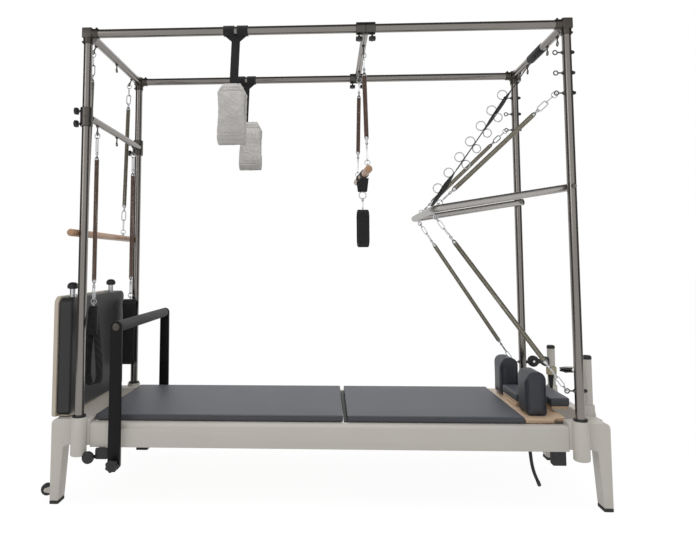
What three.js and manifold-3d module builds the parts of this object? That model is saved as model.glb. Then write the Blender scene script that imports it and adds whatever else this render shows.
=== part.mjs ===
// Combination reformer and trapeze table.
// Millimetres. +X runs to the head (pulley) end, +Y to the rear, +Z up. The feet stand at Z = 0.
import * as THREE from 'three';
import { mergeVertices } from 'three/addons/utils/BufferGeometryUtils.js';
import Module from 'manifold-3d';

const wasm = await Module();
wasm.setup();

// Frame
const centreShift = 24.2;
const postX = 1050;
const postY = 350;
const tubeRadius = 19;
const tubeWall = 2;
const tubeSides = 12;
const topRailZ = 2044;
const clearance = 0.3;

// Base
const railOuterY = 345;
const railInnerY = 303;
const railBottomZ = 239;
const railTopZ = 339.7;
const railEndX = 1004;
const castingTopZ = 354;
const castingInnerY = 278;
const castingOuterY = 343;
const bossRadius = 33;
const bossBottomZ = 206;
const bossTopZ = 366;
const footHeight = 14;
const beamX = 1146;
const beamHalfWidth = 24;
const beamBottomZ = 262;

// Bed
const padHalfWidth = 310;
const padBottomZ = 340;
const padTopZ = 368;
const fillerStartX = -1000;
const fillerEndX = 78;
const carriageStartX = 92;
const carriagePadEndX = 842;
const deckEndX = 1022;

// Foot bar
const footBarX = -889;
const footBarPivotZ = 178;
const footBarTopZ = 748;
const footBarInnerY = 358;
const footBarOuterY = 378;

// Jump board
const boardBackX = -1182;
const boardPanel = 18;
const boardFrontX = -1102;
const boardHalfWidth = 330;
const boardBottomZ = 356.5;
const boardTopZ = 875;
const boardPinX = -1140;
const boardPinY = 225;
const boardPegs = [-258, 200];

// Sliding crossbars
const footCrossbarZ = 1665;
const trapezeX = 187;
const clampRadius = 27;
const clampLength = 84;
const crossTubeRadius = 16;
const knobPitch = 57;
const eyeReach = 50;
const hangerY = 245;
const trapezeHangerY = 185;
const crossbarInset = 8;

// Push-through bar
const pushPivotZ = 1338;
const pushEndX = 478;
const pushEndZ = 1250;
const pushArmY = 310;
const pushTubeRadius = 16;
const pushEyeReach = 36;
const lowerEyeZ = 487;
const upperEyeHeights = [1742, 1830, 1920];

// Rope pulleys
const riserY = 206;
const riserRadius = 19;
const pulleyReach = 90;
const pulleyRadius = 28;

const colours = {
  steel: { color: 0x8d8a86, roughness: 0.34, metalness: 0.9 },
  chrome: { color: 0xc9cacc, roughness: 0.15, metalness: 1 },
  white: { color: 0xd6d3cc, roughness: 0.45, metalness: 0.1 },
  aluminium: { color: 0xa9a9a8, roughness: 0.4, metalness: 0.8 },
  darkGrey: { color: 0x3a3937, roughness: 0.5, metalness: 0.5 },
  black: { color: 0x18181a, roughness: 0.5, metalness: 0 },
  rubber: { color: 0x2a2a2c, roughness: 0.8, metalness: 0 },
  vinyl: { color: 0x5f6166, roughness: 0.5, metalness: 0 },
  darkVinyl: { color: 0x2b2e34, roughness: 0.5, metalness: 0 },
  birch: { color: 0xcbb096, roughness: 0.55, metalness: 0 },
  beige: { color: 0xd8cdbd, roughness: 0.5, metalness: 0 },
  dowel: { color: 0xa9876a, roughness: 0.5, metalness: 0 },
  fleece: { color: 0xc6c3c1, roughness: 0.95, metalness: 0 },
  webbing: { color: 0x161617, roughness: 0.85, metalness: 0 },
  springGrey: { color: 0x6c6966, roughness: 0.4, metalness: 0.8 },
  springBrown: { color: 0x5a4a45, roughness: 0.45, metalness: 0.7 },
};

const table = new THREE.Group();
table.position.x = centreShift;

// Positions only, with shared vertices merged and collapsed triangles dropped.
function bare(geometry) {
  const copy = geometry.clone();
  copy.deleteAttribute('normal');
  copy.deleteAttribute('uv');
  const merged = mergeVertices(copy, 1e-3);
  const kept = [];
  const index = merged.index.array;
  for (let i = 0; i < index.length; i += 3) {
    const [a, b, c] = [index[i], index[i + 1], index[i + 2]];
    if (a !== b && b !== c && a !== c) kept.push(a, b, c);
  }
  merged.setIndex(kept);
  return merged;
}

function toSolid(geometry) {
  const source = bare(geometry);
  return new wasm.Manifold(new wasm.Mesh({
    numProp: 3,
    vertProperties: Float32Array.from(source.attributes.position.array),
    triVerts: Uint32Array.from(source.index.array),
  }));
}

function fromSolid(solid) {
  const mesh = solid.getMesh();
  const geometry = new THREE.BufferGeometry();
  geometry.setAttribute('position', new THREE.BufferAttribute(mesh.vertProperties, 3));
  geometry.setIndex(new THREE.BufferAttribute(mesh.triVerts, 1));
  return geometry;
}

function join(...geometries) {
  return fromSolid(geometries.map(toSolid).reduce((whole, next) => whole.add(next)));
}

function cut(base, ...tools) {
  return fromSolid(tools.map(toSolid).reduce((whole, next) => whole.subtract(next), toSolid(base)));
}

function flipFaces(geometry) {
  const index = geometry.index.array;
  for (let i = 0; i < index.length; i += 3) {
    const second = index[i + 1];
    index[i + 1] = index[i + 2];
    index[i + 2] = second;
  }
  return geometry;
}

// A copy mirrored across the middle planes where a sign is -1.
function reflect(geometry, signX, signY) {
  const copy = bare(geometry);
  copy.scale(signX, signY, 1);
  return signX * signY < 0 ? flipFaces(copy) : copy;
}

// The geometry and its mirror copy across the long middle plane, as a list to join.
const pair = (geometry) => [geometry, reflect(geometry, 1, -1)];

function piece(name, geometry, colour, parent = table) {
  geometry.computeVertexNormals();
  const mesh = new THREE.Mesh(geometry, new THREE.MeshStandardMaterial(colour));
  mesh.name = name;
  parent.add(mesh);
  return mesh;
}

const sides = [['front', -1], ['rear', 1]];
const ends = [['foot', -1], ['head', 1]];

// Front and rear copies of a piece that is drawn on the rear side.
function frontAndRear(name, geometry, colour, parent) {
  for (const [side, sign] of sides) piece(`${name}_${side}`, reflect(geometry, 1, sign), colour, parent);
}

function subassembly(x, y, z) {
  const group = new THREE.Group();
  group.position.set(x, y, z);
  table.add(group);
  return group;
}

function alignTo(geometry, from, direction, spin = new THREE.Vector3(0, 1, 0)) {
  const along = direction.clone().normalize();
  const across = spin.clone().addScaledVector(along, -spin.dot(along)).normalize();
  const third = new THREE.Vector3().crossVectors(across, along);
  const basis = new THREE.Matrix4().makeBasis(third, across, along);
  geometry.applyMatrix4(basis);
  geometry.translate(from.x, from.y, from.z);
  return geometry;
}

const point = (x, y, z) => new THREE.Vector3(x, y, z);

// A turned form: profile points are [radius, height], spun round +Z.
function turned(profile, sides) {
  const points = profile.map(([radius, height]) => new THREE.Vector2(radius, height));
  const geometry = bare(new THREE.LatheGeometry(points, sides));
  geometry.rotateX(Math.PI / 2);
  return signedVolume(geometry) < 0 ? flipFaces(geometry) : geometry;
}

function signedVolume(geometry) {
  const spot = geometry.attributes.position;
  const index = geometry.index.array;
  const [a, b, c] = [point(0, 0, 0), point(0, 0, 0), point(0, 0, 0)];
  let volume = 0;
  for (let i = 0; i < index.length; i += 3) {
    a.fromBufferAttribute(spot, index[i]);
    b.fromBufferAttribute(spot, index[i + 1]);
    c.fromBufferAttribute(spot, index[i + 2]);
    volume += a.dot(b.cross(c));
  }
  return volume;
}

function rod(from, to, radius, sides = 12) {
  const length = from.distanceTo(to);
  const bar = turned([[0, 0], [radius, 0], [radius, length], [0, length]], sides);
  return alignTo(bar, from, to.clone().sub(from), Math.abs(to.y - from.y) > length / 2 ? point(1, 0, 0) : undefined);
}

function pipe(from, to, outer, inner, sides = tubeSides) {
  const length = from.distanceTo(to);
  const wall = turned([[inner, 0], [outer, 0], [outer, length], [inner, length], [inner, 0]], sides);
  return alignTo(wall, from, to.clone().sub(from), Math.abs(to.y - from.y) > length / 2 ? point(1, 0, 0) : undefined);
}

function roundedRectangle(left, bottom, right, top, radius, topRadius = radius) {
  const shape = new THREE.Shape();
  shape.moveTo(left + radius, bottom);
  shape.lineTo(right - radius, bottom);
  shape.absarc(right - radius, bottom + radius, radius, -Math.PI / 2, 0);
  shape.lineTo(right, top - topRadius);
  shape.absarc(right - topRadius, top - topRadius, topRadius, 0, Math.PI / 2);
  shape.lineTo(left + topRadius, top);
  shape.absarc(left + topRadius, top - topRadius, topRadius, Math.PI / 2, Math.PI);
  shape.lineTo(left, bottom + radius);
  shape.absarc(left + radius, bottom + radius, radius, Math.PI, Math.PI * 1.5);
  return shape;
}

function extruded(shape, depth, bevel, smoothness) {
  return new THREE.ExtrudeGeometry(shape, {
    depth: depth - 2 * bevel,
    bevelEnabled: bevel > 0,
    bevelSize: bevel,
    bevelThickness: bevel,
    bevelOffset: -bevel,
    bevelSegments: 1,
    curveSegments: smoothness,
  }).translate(0, 0, bevel);
}

// The shape's axes are Y and Z, and it runs along X.
function alongX(shape, startX, endX, bevel = 0, smoothness = 4) {
  const turn = new THREE.Matrix4().makeBasis(point(0, 1, 0), point(0, 0, 1), point(1, 0, 0));
  return bare(extruded(shape, endX - startX, bevel, smoothness)).applyMatrix4(turn).translate(startX, 0, 0);
}

// The shape's axes are X and Z, and it runs along Y.
function alongY(shape, startY, endY, bevel = 0, smoothness = 4) {
  const turn = new THREE.Matrix4().makeBasis(point(1, 0, 0), point(0, 0, 1), point(0, -1, 0));
  return bare(extruded(shape, endY - startY, bevel, smoothness)).applyMatrix4(turn).translate(0, endY, 0);
}

// The shape's axes are X and Y, and it runs up Z.
function alongZ(shape, startZ, endZ, bevel = 0, smoothness = 4) {
  return bare(extruded(shape, endZ - startZ, bevel, smoothness)).translate(0, 0, startZ);
}

function block(x0, y0, z0, x1, y1, z1) {
  return alongZ(roundedRectangle(x0, y0, x1, y1, 1), z0, z1, 0, 1);
}

function ring(centre, axis, major, minor, sides = 8) {
  const torus = bare(new THREE.TorusGeometry(major, minor, 3, sides));
  return alignTo(torus, centre, axis, Math.abs(axis.y) > 0.5 ? point(1, 0, 0) : undefined);
}

// Side rails: a hollow section with a rounded upper outer edge, a roller track on its inner face and the
// bracket that carries the foot bar's pivot bolt.
const railWall = 3;
const railShoulder = 14;
function railSection(inset) {
  const shape = new THREE.Shape();
  const shoulder = railShoulder - inset;
  shape.moveTo(railInnerY + inset, railBottomZ + inset);
  shape.lineTo(railOuterY - inset, railBottomZ + inset);
  shape.lineTo(railOuterY - inset, railTopZ - railShoulder);
  shape.absarc(railOuterY - railShoulder, railTopZ - railShoulder, shoulder, 0, Math.PI / 2);
  shape.lineTo(railInnerY + inset, railTopZ - inset);
  shape.closePath();
  return shape;
}
const railProfile = railSection(0);
railProfile.holes.push(railSection(railWall));
const trackZ = 290;
const trackWidth = 20;
const trackWall = 4;
const trackHeight = 22;
const trackShape = new THREE.Shape();
trackShape.moveTo(railInnerY - trackWidth, trackZ);
trackShape.lineTo(railInnerY + 1, trackZ);
trackShape.lineTo(railInnerY + 1, trackZ + trackHeight);
trackShape.lineTo(railInnerY - trackWall, trackZ + trackHeight);
trackShape.lineTo(railInnerY - trackWall, trackZ + trackWall);
trackShape.lineTo(railInnerY - trackWidth, trackZ + trackWall);
const pivotRadius = 8;
const bracketWall = 7;
const bracketShape = roundedRectangle(footBarX - 22, footBarPivotZ - 20, footBarX + 22, railTopZ - 24, 8);
const boltEndY = footBarOuterY + 4;
frontAndRear('side_rail', join(
  alongX(railProfile, -railEndX, railEndX),
  alongX(trackShape, -railEndX + 20, railEndX - 4),
  alongY(bracketShape, railOuterY - 1, railOuterY + bracketWall),
  rod(point(footBarX, railOuterY + 2, footBarPivotZ), point(footBarX, boltEndY, footBarPivotZ), pivotRadius, 12),
), colours.white);

// End frames: a hollow beam between two cast legs. Each leg has a block that meets the rail, a round post
// socket with its bore, an arch and a tapered foot.
const legTopInnerX = 1121;
const legFootInnerX = 1137;
const legFootOuterX = 1174;
const legTopOuterX = 1174;
const cornerRadius = 22;
const archRadius = 18;
const socketFloorZ = 232;
function castingBody() {
  const side = new THREE.Shape();
  side.moveTo(railEndX + 1, railBottomZ + 7);
  side.lineTo(legTopInnerX - archRadius, railBottomZ + 7);
  side.absarc(legTopInnerX - archRadius, railBottomZ + 7 - archRadius, archRadius, Math.PI / 2, 0, true);
  side.lineTo(legFootInnerX, footHeight);
  side.lineTo(legFootOuterX, footHeight);
  side.lineTo(legTopOuterX, castingTopZ - cornerRadius);
  side.absarc(legTopOuterX - cornerRadius, castingTopZ - cornerRadius, cornerRadius, 0, Math.PI / 2);
  side.lineTo(railEndX + 1, castingTopZ);
  const wing = alongY(side, castingInnerY, castingOuterY, 0, 3);
  const boss = turned([[0, bossBottomZ], [bossRadius - 4, bossBottomZ], [bossRadius, bossBottomZ + 4],
    [bossRadius, bossTopZ], [0, bossTopZ]], tubeSides).translate(postX, postY, 0);
  const bore = rod(point(postX, postY, socketFloorZ), point(postX, postY, bossTopZ + 10), tubeRadius + clearance,
    tubeSides);
  return cut(join(wing, boss), bore);
}
const casting = castingBody();
const beamWall = 3;
function endBeam() {
  const outline = roundedRectangle(beamX - beamHalfWidth, beamBottomZ, beamX + beamHalfWidth, castingTopZ, 6);
  outline.holes.push(roundedRectangle(beamX - beamHalfWidth + beamWall, beamBottomZ + beamWall,
    beamX + beamHalfWidth - beamWall, castingTopZ - beamWall, 3));
  return alongY(outline, -castingInnerY - 4, castingInnerY + 4, 0, 2);
}
const topHole = (x, y, radius, count) => rod(point(x, y, castingTopZ - 10), point(x, y, castingTopZ + 5),
  radius + clearance, count);

// The foot end legs carry a wheel fork on their outer side, and the foot beam is drilled for the board's pins.
const wheelX = 1199;
const wheelZ = 50;
const wheelRadius = 25;
const wheelHalfWidth = 11;
const wheelY = (castingInnerY + castingOuterY) / 2;
const axleRadius = 4;
function forkEar(startY) {
  const ear = new THREE.Shape();
  ear.moveTo(legFootOuterX - 12, wheelZ + 22);
  ear.lineTo(legFootOuterX - 12, wheelZ - 14);
  ear.lineTo(wheelX, wheelZ - 9);
  ear.absarc(wheelX, wheelZ, 9, -Math.PI / 2, Math.PI / 2);
  return alongY(ear, startY, startY + 4, 0, 3);
}
const axle = rod(point(wheelX, wheelY - 19, wheelZ), point(wheelX, wheelY + 19, wheelZ), axleRadius, 8);
const forkedCasting = join(casting, forkEar(wheelY - 16), forkEar(wheelY + 12), axle);
const pinRadius = 6;
const footEnd = join(...pair(forkedCasting), cut(endBeam(), ...pair(topHole(-boardPinX, boardPinY, pinRadius, 10))));
piece('foot_end_frame', reflect(footEnd, -1, 1), colours.white);

// The head beam carries two sockets for the pulley risers.
const riserSocket = turned([[riserRadius + clearance, castingTopZ - 1], [29, castingTopZ - 1],
  [29, castingTopZ + 8], [26, castingTopZ + 14], [25, castingTopZ + 44], [riserRadius + clearance, castingTopZ + 44],
  [riserRadius + clearance, castingTopZ - 1]], tubeSides).translate(beamX, riserY, 0);
piece('head_end_frame', join(...pair(casting), ...pair(riserSocket),
  cut(endBeam(), ...pair(topHole(beamX, riserY, riserRadius, tubeSides)))), colours.white);

const wheelProfile = [[axleRadius + 0.2, -wheelHalfWidth], [wheelRadius - 3, -wheelHalfWidth],
  [wheelRadius, 3 - wheelHalfWidth], [wheelRadius, wheelHalfWidth - 3], [wheelRadius - 3, wheelHalfWidth],
  [axleRadius + 0.2, wheelHalfWidth], [axleRadius + 0.2, -wheelHalfWidth]];
for (const [side, sign] of sides) {
  const wheel = piece(`transport_wheel_${side}`, turned(wheelProfile, 14).rotateX(Math.PI / 2), colours.rubber);
  wheel.position.set(-wheelX, sign * wheelY, wheelZ);
}

// Rubber feet under the four legs.
const footPad = alongZ(roundedRectangle(legFootInnerX - 1, castingInnerY, legFootOuterX + 1, castingOuterY, 6),
  0, footHeight - clearance, 0, 2);
for (const [end, sign] of ends) frontAndRear(`rubber_foot_${end}`, reflect(footPad, sign, 1), colours.rubber);

// Spring bar under the filler mat, with its pegs. Its brackets are screwed below the rails and show there.
const springBarX = -780;
const springBarZ = 262;
const springPegs = [-160, -80, 0, 80, 160].map((y) => rod(point(springBarX, y, springBarZ),
  point(springBarX - 6, y, springBarZ + 26), 5, 8));
const barBracket = new THREE.Shape();
barBracket.moveTo(railOuterY - 3, railBottomZ - 11);
barBracket.lineTo(railOuterY - 3, railBottomZ - clearance);
barBracket.lineTo(railInnerY - clearance, railBottomZ - clearance);
barBracket.lineTo(railInnerY - clearance, springBarZ + 18);
barBracket.lineTo(railInnerY - 8, springBarZ + 18);
barBracket.lineTo(railInnerY - 8, railBottomZ - 11);
piece('spring_bar', join(
  rod(point(springBarX, -railInnerY + 2, springBarZ), point(springBarX, railInnerY - 2, springBarZ), 11, 12),
  ...springPegs,
  ...pair(alongX(barBracket, springBarX - 24, springBarX + 24)),
), colours.black);

// Eyebolts: a ring on a stem that is fixed in a tube.
const eyeMajor = 9;
const eyeMinor = 2.6;
function eyebolt(at, direction, holeAxis, radius = tubeRadius, reach = eyeReach) {
  const stem = rod(point(0, 0, radius - 1.5), point(0, 0, reach - eyeMajor + 1), 3.4, 5);
  return alignTo(join(stem, ring(point(0, 0, reach), point(0, 1, 0), eyeMajor, eyeMinor)), at, direction, holeAxis);
}
const down = point(0, 0, -1);

// Posts: stainless tube with a black collar on the socket mouth. The head posts also have eyebolts for
// springs and the push-through bar's pivot bolts.
const postTopZ = topRailZ - 23;
const collar = turned([[tubeRadius - 1, bossTopZ + clearance], [bossRadius - 6, bossTopZ + clearance],
  [bossRadius - 7, bossTopZ + 8], [tubeRadius - 1, bossTopZ + 8],
  [tubeRadius - 1, bossTopZ + clearance]], tubeSides).translate(postX, postY, 0);
const plainPost = join(collar, pipe(point(postX, postY, socketFloorZ + clearance), point(postX, postY, postTopZ),
  tubeRadius, tubeRadius - tubeWall));
const pivotBoltRadius = 6;
const pivotBolt = join(
  rod(point(postX, pushArmY - pushTubeRadius + 3, pushPivotZ), point(postX, postY + 28, pushPivotZ),
    pivotBoltRadius, 8),
  rod(point(postX, postY + tubeRadius - 2, pushPivotZ), point(postX, postY + 27, pushPivotZ), 10, 6));
const postEye = (z, holeAxis) => eyebolt(point(postX, postY, z), point(-1, 0, 0), holeAxis);
const postEyes = [postEye(lowerEyeZ, point(0, 1, 0)), ...upperEyeHeights.map((z) => postEye(z, point(0, 0, 1)))];
frontAndRear('foot_post', reflect(plainPost, -1, 1), colours.steel);
frontAndRear('head_post', join(plainPost, pivotBolt, ...postEyes), colours.steel);

// Top rails. Each cross rail ends in two three-way corner connectors that take a post and a long rail.
const sleeveRadius = 23.5;
const sleeveLength = 48;
const boreStart = 14;
const corner = point(postX, postY, topRailZ);
const cornerWays = [point(-1, 0, 0), point(0, 0, -1)];
const cornerRod = (way, start, end, radius, count) => rod(corner.clone().addScaledVector(way, start),
  corner.clone().addScaledVector(way, end), radius, count);
const sleeves = [...cornerWays, point(0, -1, 0)].map((way) => cornerRod(way, 0, sleeveLength, sleeveRadius,
  tubeSides));
const hub = bare(new THREE.SphereGeometry(sleeveRadius + 1, 8, 4)).rotateX(Math.PI / 2)
  .translate(postX, postY, topRailZ);
const sleeveBores = cornerWays.map((way) => cornerRod(way, boreStart, sleeveLength + 5, tubeRadius + clearance,
  tubeSides));
function crossRail(eyes) {
  const across = (reach, radius) => rod(point(postX, -reach, topRailZ), point(postX, reach, topRailZ), radius,
    tubeSides);
  const outside = join(across(postY, tubeRadius), ...pair(hub), ...sleeves.flatMap(pair));
  const bores = [across(postY - boreStart, tubeRadius - tubeWall), ...sleeveBores.flatMap(pair)];
  return join(cut(outside, ...bores), ...eyes);
}
const headRailEyes = [-254, -135, 135, 254].map((y) => eyebolt(point(postX, y, topRailZ), down, point(1, 0, 0)));
const rollDownWay = point(20, 0, -46).normalize();
const footRailEyes = [[-hangerY, rollDownWay], [0, down], [hangerY, rollDownWay]]
  .map(([y, way]) => eyebolt(point(postX, y, topRailZ), way, point(1, 0, 0)));
piece('top_rail_head', crossRail(headRailEyes), colours.steel);
piece('top_rail_foot', reflect(crossRail(footRailEyes), -1, 1), colours.steel);
frontAndRear('top_rail', pipe(point(-postX + 23, postY, topRailZ), point(postX - 23, postY, topRailZ), tubeRadius,
  tubeRadius - tubeWall), colours.steel);

// Jump board: a panel whose ledge carries the padded face, with two locating pins below it and two pegs
// with caps on top.
const boardJoinX = boardBackX + boardPanel;
const boardOutline = (bottom) => roundedRectangle(-boardHalfWidth, bottom, boardHalfWidth, boardTopZ, 14, 36);
const ledge = block(boardJoinX - 3, -boardHalfWidth + 20, boardBottomZ, boardFrontX - 14, boardHalfWidth - 20,
  boardBottomZ + 7.7);
const pin = rod(point(boardPinX, boardPinY, castingTopZ - 28), point(boardPinX, boardPinY, boardBottomZ + 3),
  pinRadius, 10);
piece('jump_board_panel', join(alongX(boardOutline(boardBottomZ), boardBackX, boardJoinX, 2, 3), ledge,
  ...pair(pin)), colours.beige);
const pegs = boardPegs.map((y) => turned([[0, boardTopZ - 4], [13, boardTopZ - 4], [13, boardTopZ + 32],
  [23, boardTopZ + 34], [24, boardTopZ + 44], [15, boardTopZ + 57], [0, boardTopZ + 60]], 10)
  .translate((boardJoinX + boardFrontX) / 2, y, 0));
piece('jump_board_pad', join(alongX(boardOutline(boardBottomZ + 8), boardJoinX + clearance, boardFrontX, 10, 3),
  ...pegs), colours.darkVinyl);

// Foot bar: two flat legs outside the rails, a steel cross tube and a foam grip.
const footBar = subassembly(footBarX, 0, footBarPivotZ);
const footBarLength = footBarTopZ - footBarPivotZ;
const legHalfWidth = 24;
const gripTubeRadius = 16;
const barLeg = new THREE.Shape();
barLeg.absarc(0, 0, legHalfWidth + 3, Math.PI * 1.08, Math.PI * 1.92);
barLeg.absarc(0, footBarLength, legHalfWidth, 0, Math.PI);
const pivotHole = new THREE.Path();
pivotHole.absarc(0, 0, pivotRadius + clearance, 0, Math.PI * 2, true);
barLeg.holes.push(pivotHole);
const acrossBar = (reach, radius) => rod(point(0, -reach, footBarLength), point(0, reach, footBarLength), radius,
  tubeSides);
piece('foot_bar_frame', cut(
  join(...pair(alongY(barLeg, footBarInnerY, footBarOuterY, 3, 6)), acrossBar(footBarOuterY - 4, gripTubeRadius)),
  acrossBar(footBarOuterY + 5, gripTubeRadius - tubeWall),
), colours.black, footBar);
piece('foot_bar_grip', pipe(point(0, -footBarInnerY + 8, footBarLength), point(0, footBarInnerY - 8, footBarLength),
  legHalfWidth, gripTubeRadius + clearance), colours.rubber, footBar);

// Clamp knobs on the ends of the pivot bolts.
const clampKnob = [[0, 0], [22, 0], [26, 4], [27, 12], [24, 18], [12, 21], [0, 21]];
for (const [side, sign] of sides) {
  const knob = piece(`foot_bar_knob_${side}`, turned(clampKnob, 12).rotateX(-sign * Math.PI / 2), colours.black);
  knob.position.set(footBarX, sign * (boltEndY + clearance), footBarPivotZ);
}

// Filler mat: a board that drops between the rails under an upholstered pad.
piece('filler_board', block(fillerStartX + 10, -295, padBottomZ - 14, fillerEndX - 10, 295, padBottomZ - clearance),
  colours.birch);
piece('filler_pad', alongX(roundedRectangle(-padHalfWidth, padBottomZ, padHalfWidth, padTopZ, 6, 9),
  fillerStartX, fillerEndX, 5, 3), colours.vinyl);

// Carriage: a folded chassis with its rollers and the springs parked below, a pad, a deck and shoulder rests.
const chassisTopZ = padBottomZ - clearance;
const chassisHalfWidth = 276;
const chassisBottomZ = 303;
const chassisWall = 3;
const chassisShape = new THREE.Shape();
chassisShape.moveTo(-chassisHalfWidth, chassisBottomZ);
chassisShape.lineTo(-chassisHalfWidth + chassisWall, chassisBottomZ);
chassisShape.lineTo(-chassisHalfWidth + chassisWall, chassisTopZ - chassisWall);
chassisShape.lineTo(chassisHalfWidth - chassisWall, chassisTopZ - chassisWall);
chassisShape.lineTo(chassisHalfWidth - chassisWall, chassisBottomZ);
chassisShape.lineTo(chassisHalfWidth, chassisBottomZ);
chassisShape.lineTo(chassisHalfWidth, chassisTopZ);
chassisShape.lineTo(-chassisHalfWidth, chassisTopZ);
const rollerRadius = 20;
const rollerY = chassisHalfWidth + 5;
const rollerZ = trackZ + trackWall + clearance + rollerRadius;
const rollerProfile = [[0, -8], [5, -8], [5, 0], [rollerRadius, 0], [rollerRadius, 11], [0, 11]];
const rollers = [170, 950].flatMap((x) => pair(turned(rollerProfile, 12).rotateX(-Math.PI / 2)
  .translate(x, rollerY, rollerZ)));
const springZ = chassisTopZ - 34;
const parkedSpring = turned([[0, 0], [4, 0], [10, 20], [10, 400], [4, 420], [0, 420]], 6);
const parkedSprings = [-165, -55, 55, 165].map((y) => parkedSpring.clone().rotateY(Math.PI / 2)
  .translate(180, y, springZ));
const springHanger = (x) => block(x, -190, springZ - 6, x + 6, 190, chassisTopZ - 1);
piece('carriage_chassis', join(alongX(chassisShape, carriageStartX + 8, deckEndX - 12), ...rollers,
  ...parkedSprings, springHanger(186), springHanger(588)), colours.aluminium);
piece('carriage_pad', alongX(roundedRectangle(-padHalfWidth, padBottomZ, padHalfWidth, padTopZ, 6, 9),
  carriageStartX, carriagePadEndX, 5, 3), colours.vinyl);
const deckTopZ = 358;
const deckStartX = carriagePadEndX + 3;
const deckNotchX = 960;
const headrestHingeZ = 372;
const headrestHalfWidth = 108;
const headrestStartX = 864;
const deckShape = new THREE.Shape();
deckShape.moveTo(deckStartX, -padHalfWidth + 10);
deckShape.lineTo(deckNotchX, -padHalfWidth + 10);
deckShape.lineTo(deckNotchX + 20, -castingInnerY + 6);
deckShape.lineTo(deckEndX, -castingInnerY + 6);
deckShape.lineTo(deckEndX, castingInnerY - 6);
deckShape.lineTo(deckNotchX + 20, castingInnerY - 6);
deckShape.lineTo(deckNotchX, padHalfWidth - 10);
deckShape.lineTo(deckStartX, padHalfWidth - 10);
const hingeBlock = block(headrestStartX, -90, deckTopZ - 2, headrestStartX + 32, 90, headrestHingeZ);
piece('carriage_deck', join(alongZ(deckShape, padBottomZ, deckTopZ, 2), hingeBlock), colours.birch);

const restShape = roundedRectangle(870, deckTopZ + clearance, 955, 546, 14, 36);
frontAndRear('shoulder_rest', alongY(restShape, 120, 252, 10, 4), colours.darkVinyl);

// Headrest: a pad that is narrow between the shoulder rests and wide beyond them, on a plywood board.
const headrestWideX = 992;
const headrestEndX = 1084;
function headrestOutline(inset) {
  const shape = new THREE.Shape();
  const narrow = headrestHalfWidth - inset;
  const wide = 190 - inset;
  shape.moveTo(headrestStartX + inset, -narrow);
  shape.lineTo(headrestWideX + inset, -narrow);
  shape.lineTo(headrestWideX + inset, -wide);
  shape.lineTo(headrestEndX - inset - 20, -wide);
  shape.absarc(headrestEndX - inset - 20, -wide + 20, 20, -Math.PI / 2, 0);
  shape.lineTo(headrestEndX - inset, wide - 20);
  shape.absarc(headrestEndX - inset - 20, wide - 20, 20, 0, Math.PI / 2);
  shape.lineTo(headrestWideX + inset, wide);
  shape.lineTo(headrestWideX + inset, narrow);
  shape.lineTo(headrestStartX + inset, narrow);
  return shape;
}
const headrestBoardTopZ = 384;
piece('headrest_board', alongZ(headrestOutline(6), headrestHingeZ + clearance, headrestBoardTopZ), colours.birch);
piece('headrest_pad', alongZ(headrestOutline(0), headrestBoardTopZ + clearance, 421, 6), colours.vinyl);

// Rope tail that hangs from the carriage.
class KnotPath extends THREE.Curve {
  constructor(knots) {
    super();
    this.knots = knots;
  }

  knotAt(u) {
    return this.knots[Math.round(u * (this.knots.length - 1))];
  }

  getPointAt(u) {
    return this.knotAt(u).spot.clone();
  }

  getTangentAt(u) {
    return this.knotAt(u).heading.clone();
  }
}

// A polyline with rounded corners, as path knots.
function bentPath(corners, bendRadius, bendSteps) {
  const knots = [];
  const headings = corners.slice(1).map((end, i) => end.clone().sub(corners[i]).normalize());
  knots.push({ spot: corners[0], heading: headings[0] });
  for (let i = 1; i < corners.length - 1; i += 1) {
    const before = headings[i - 1];
    const after = headings[i];
    const turn = before.angleTo(after);
    const setback = bendRadius * Math.tan(turn / 2);
    const start = corners[i].clone().addScaledVector(before, -setback);
    const inward = after.clone().addScaledVector(before, -after.dot(before)).normalize();
    for (let step = 0; step <= bendSteps; step += 1) {
      const angle = turn * step / bendSteps;
      knots.push({
        spot: start.clone().addScaledVector(before, bendRadius * Math.sin(angle))
          .addScaledVector(inward, bendRadius * (1 - Math.cos(angle))),
        heading: before.clone().multiplyScalar(Math.cos(angle)).addScaledVector(inward, Math.sin(angle)),
      });
    }
  }
  knots.push({ spot: corners[corners.length - 1], heading: headings[headings.length - 1] });
  return new KnotPath(knots);
}

function polygon(radius, sides) {
  const corners = [];
  for (let i = 0; i < sides; i += 1) {
    const angle = i / sides * Math.PI * 2;
    corners.push(new THREE.Vector2(radius * Math.cos(angle), radius * Math.sin(angle)));
  }
  return new THREE.Shape(corners);
}

function sweptTube(path, steps, radius, sides) {
  return bare(new THREE.ExtrudeGeometry(polygon(radius, sides), { steps, extrudePath: path }));
}

const tailPath = new THREE.CatmullRomCurve3([point(868, -262, chassisTopZ - chassisWall - clearance),
  point(869, -262, 262), point(872, -262, 205), point(882, -262, 138), point(906, -262, 74)]);
piece('rope_tail', sweptTube(tailPath, 14, 7, 8), colours.webbing);

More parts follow.
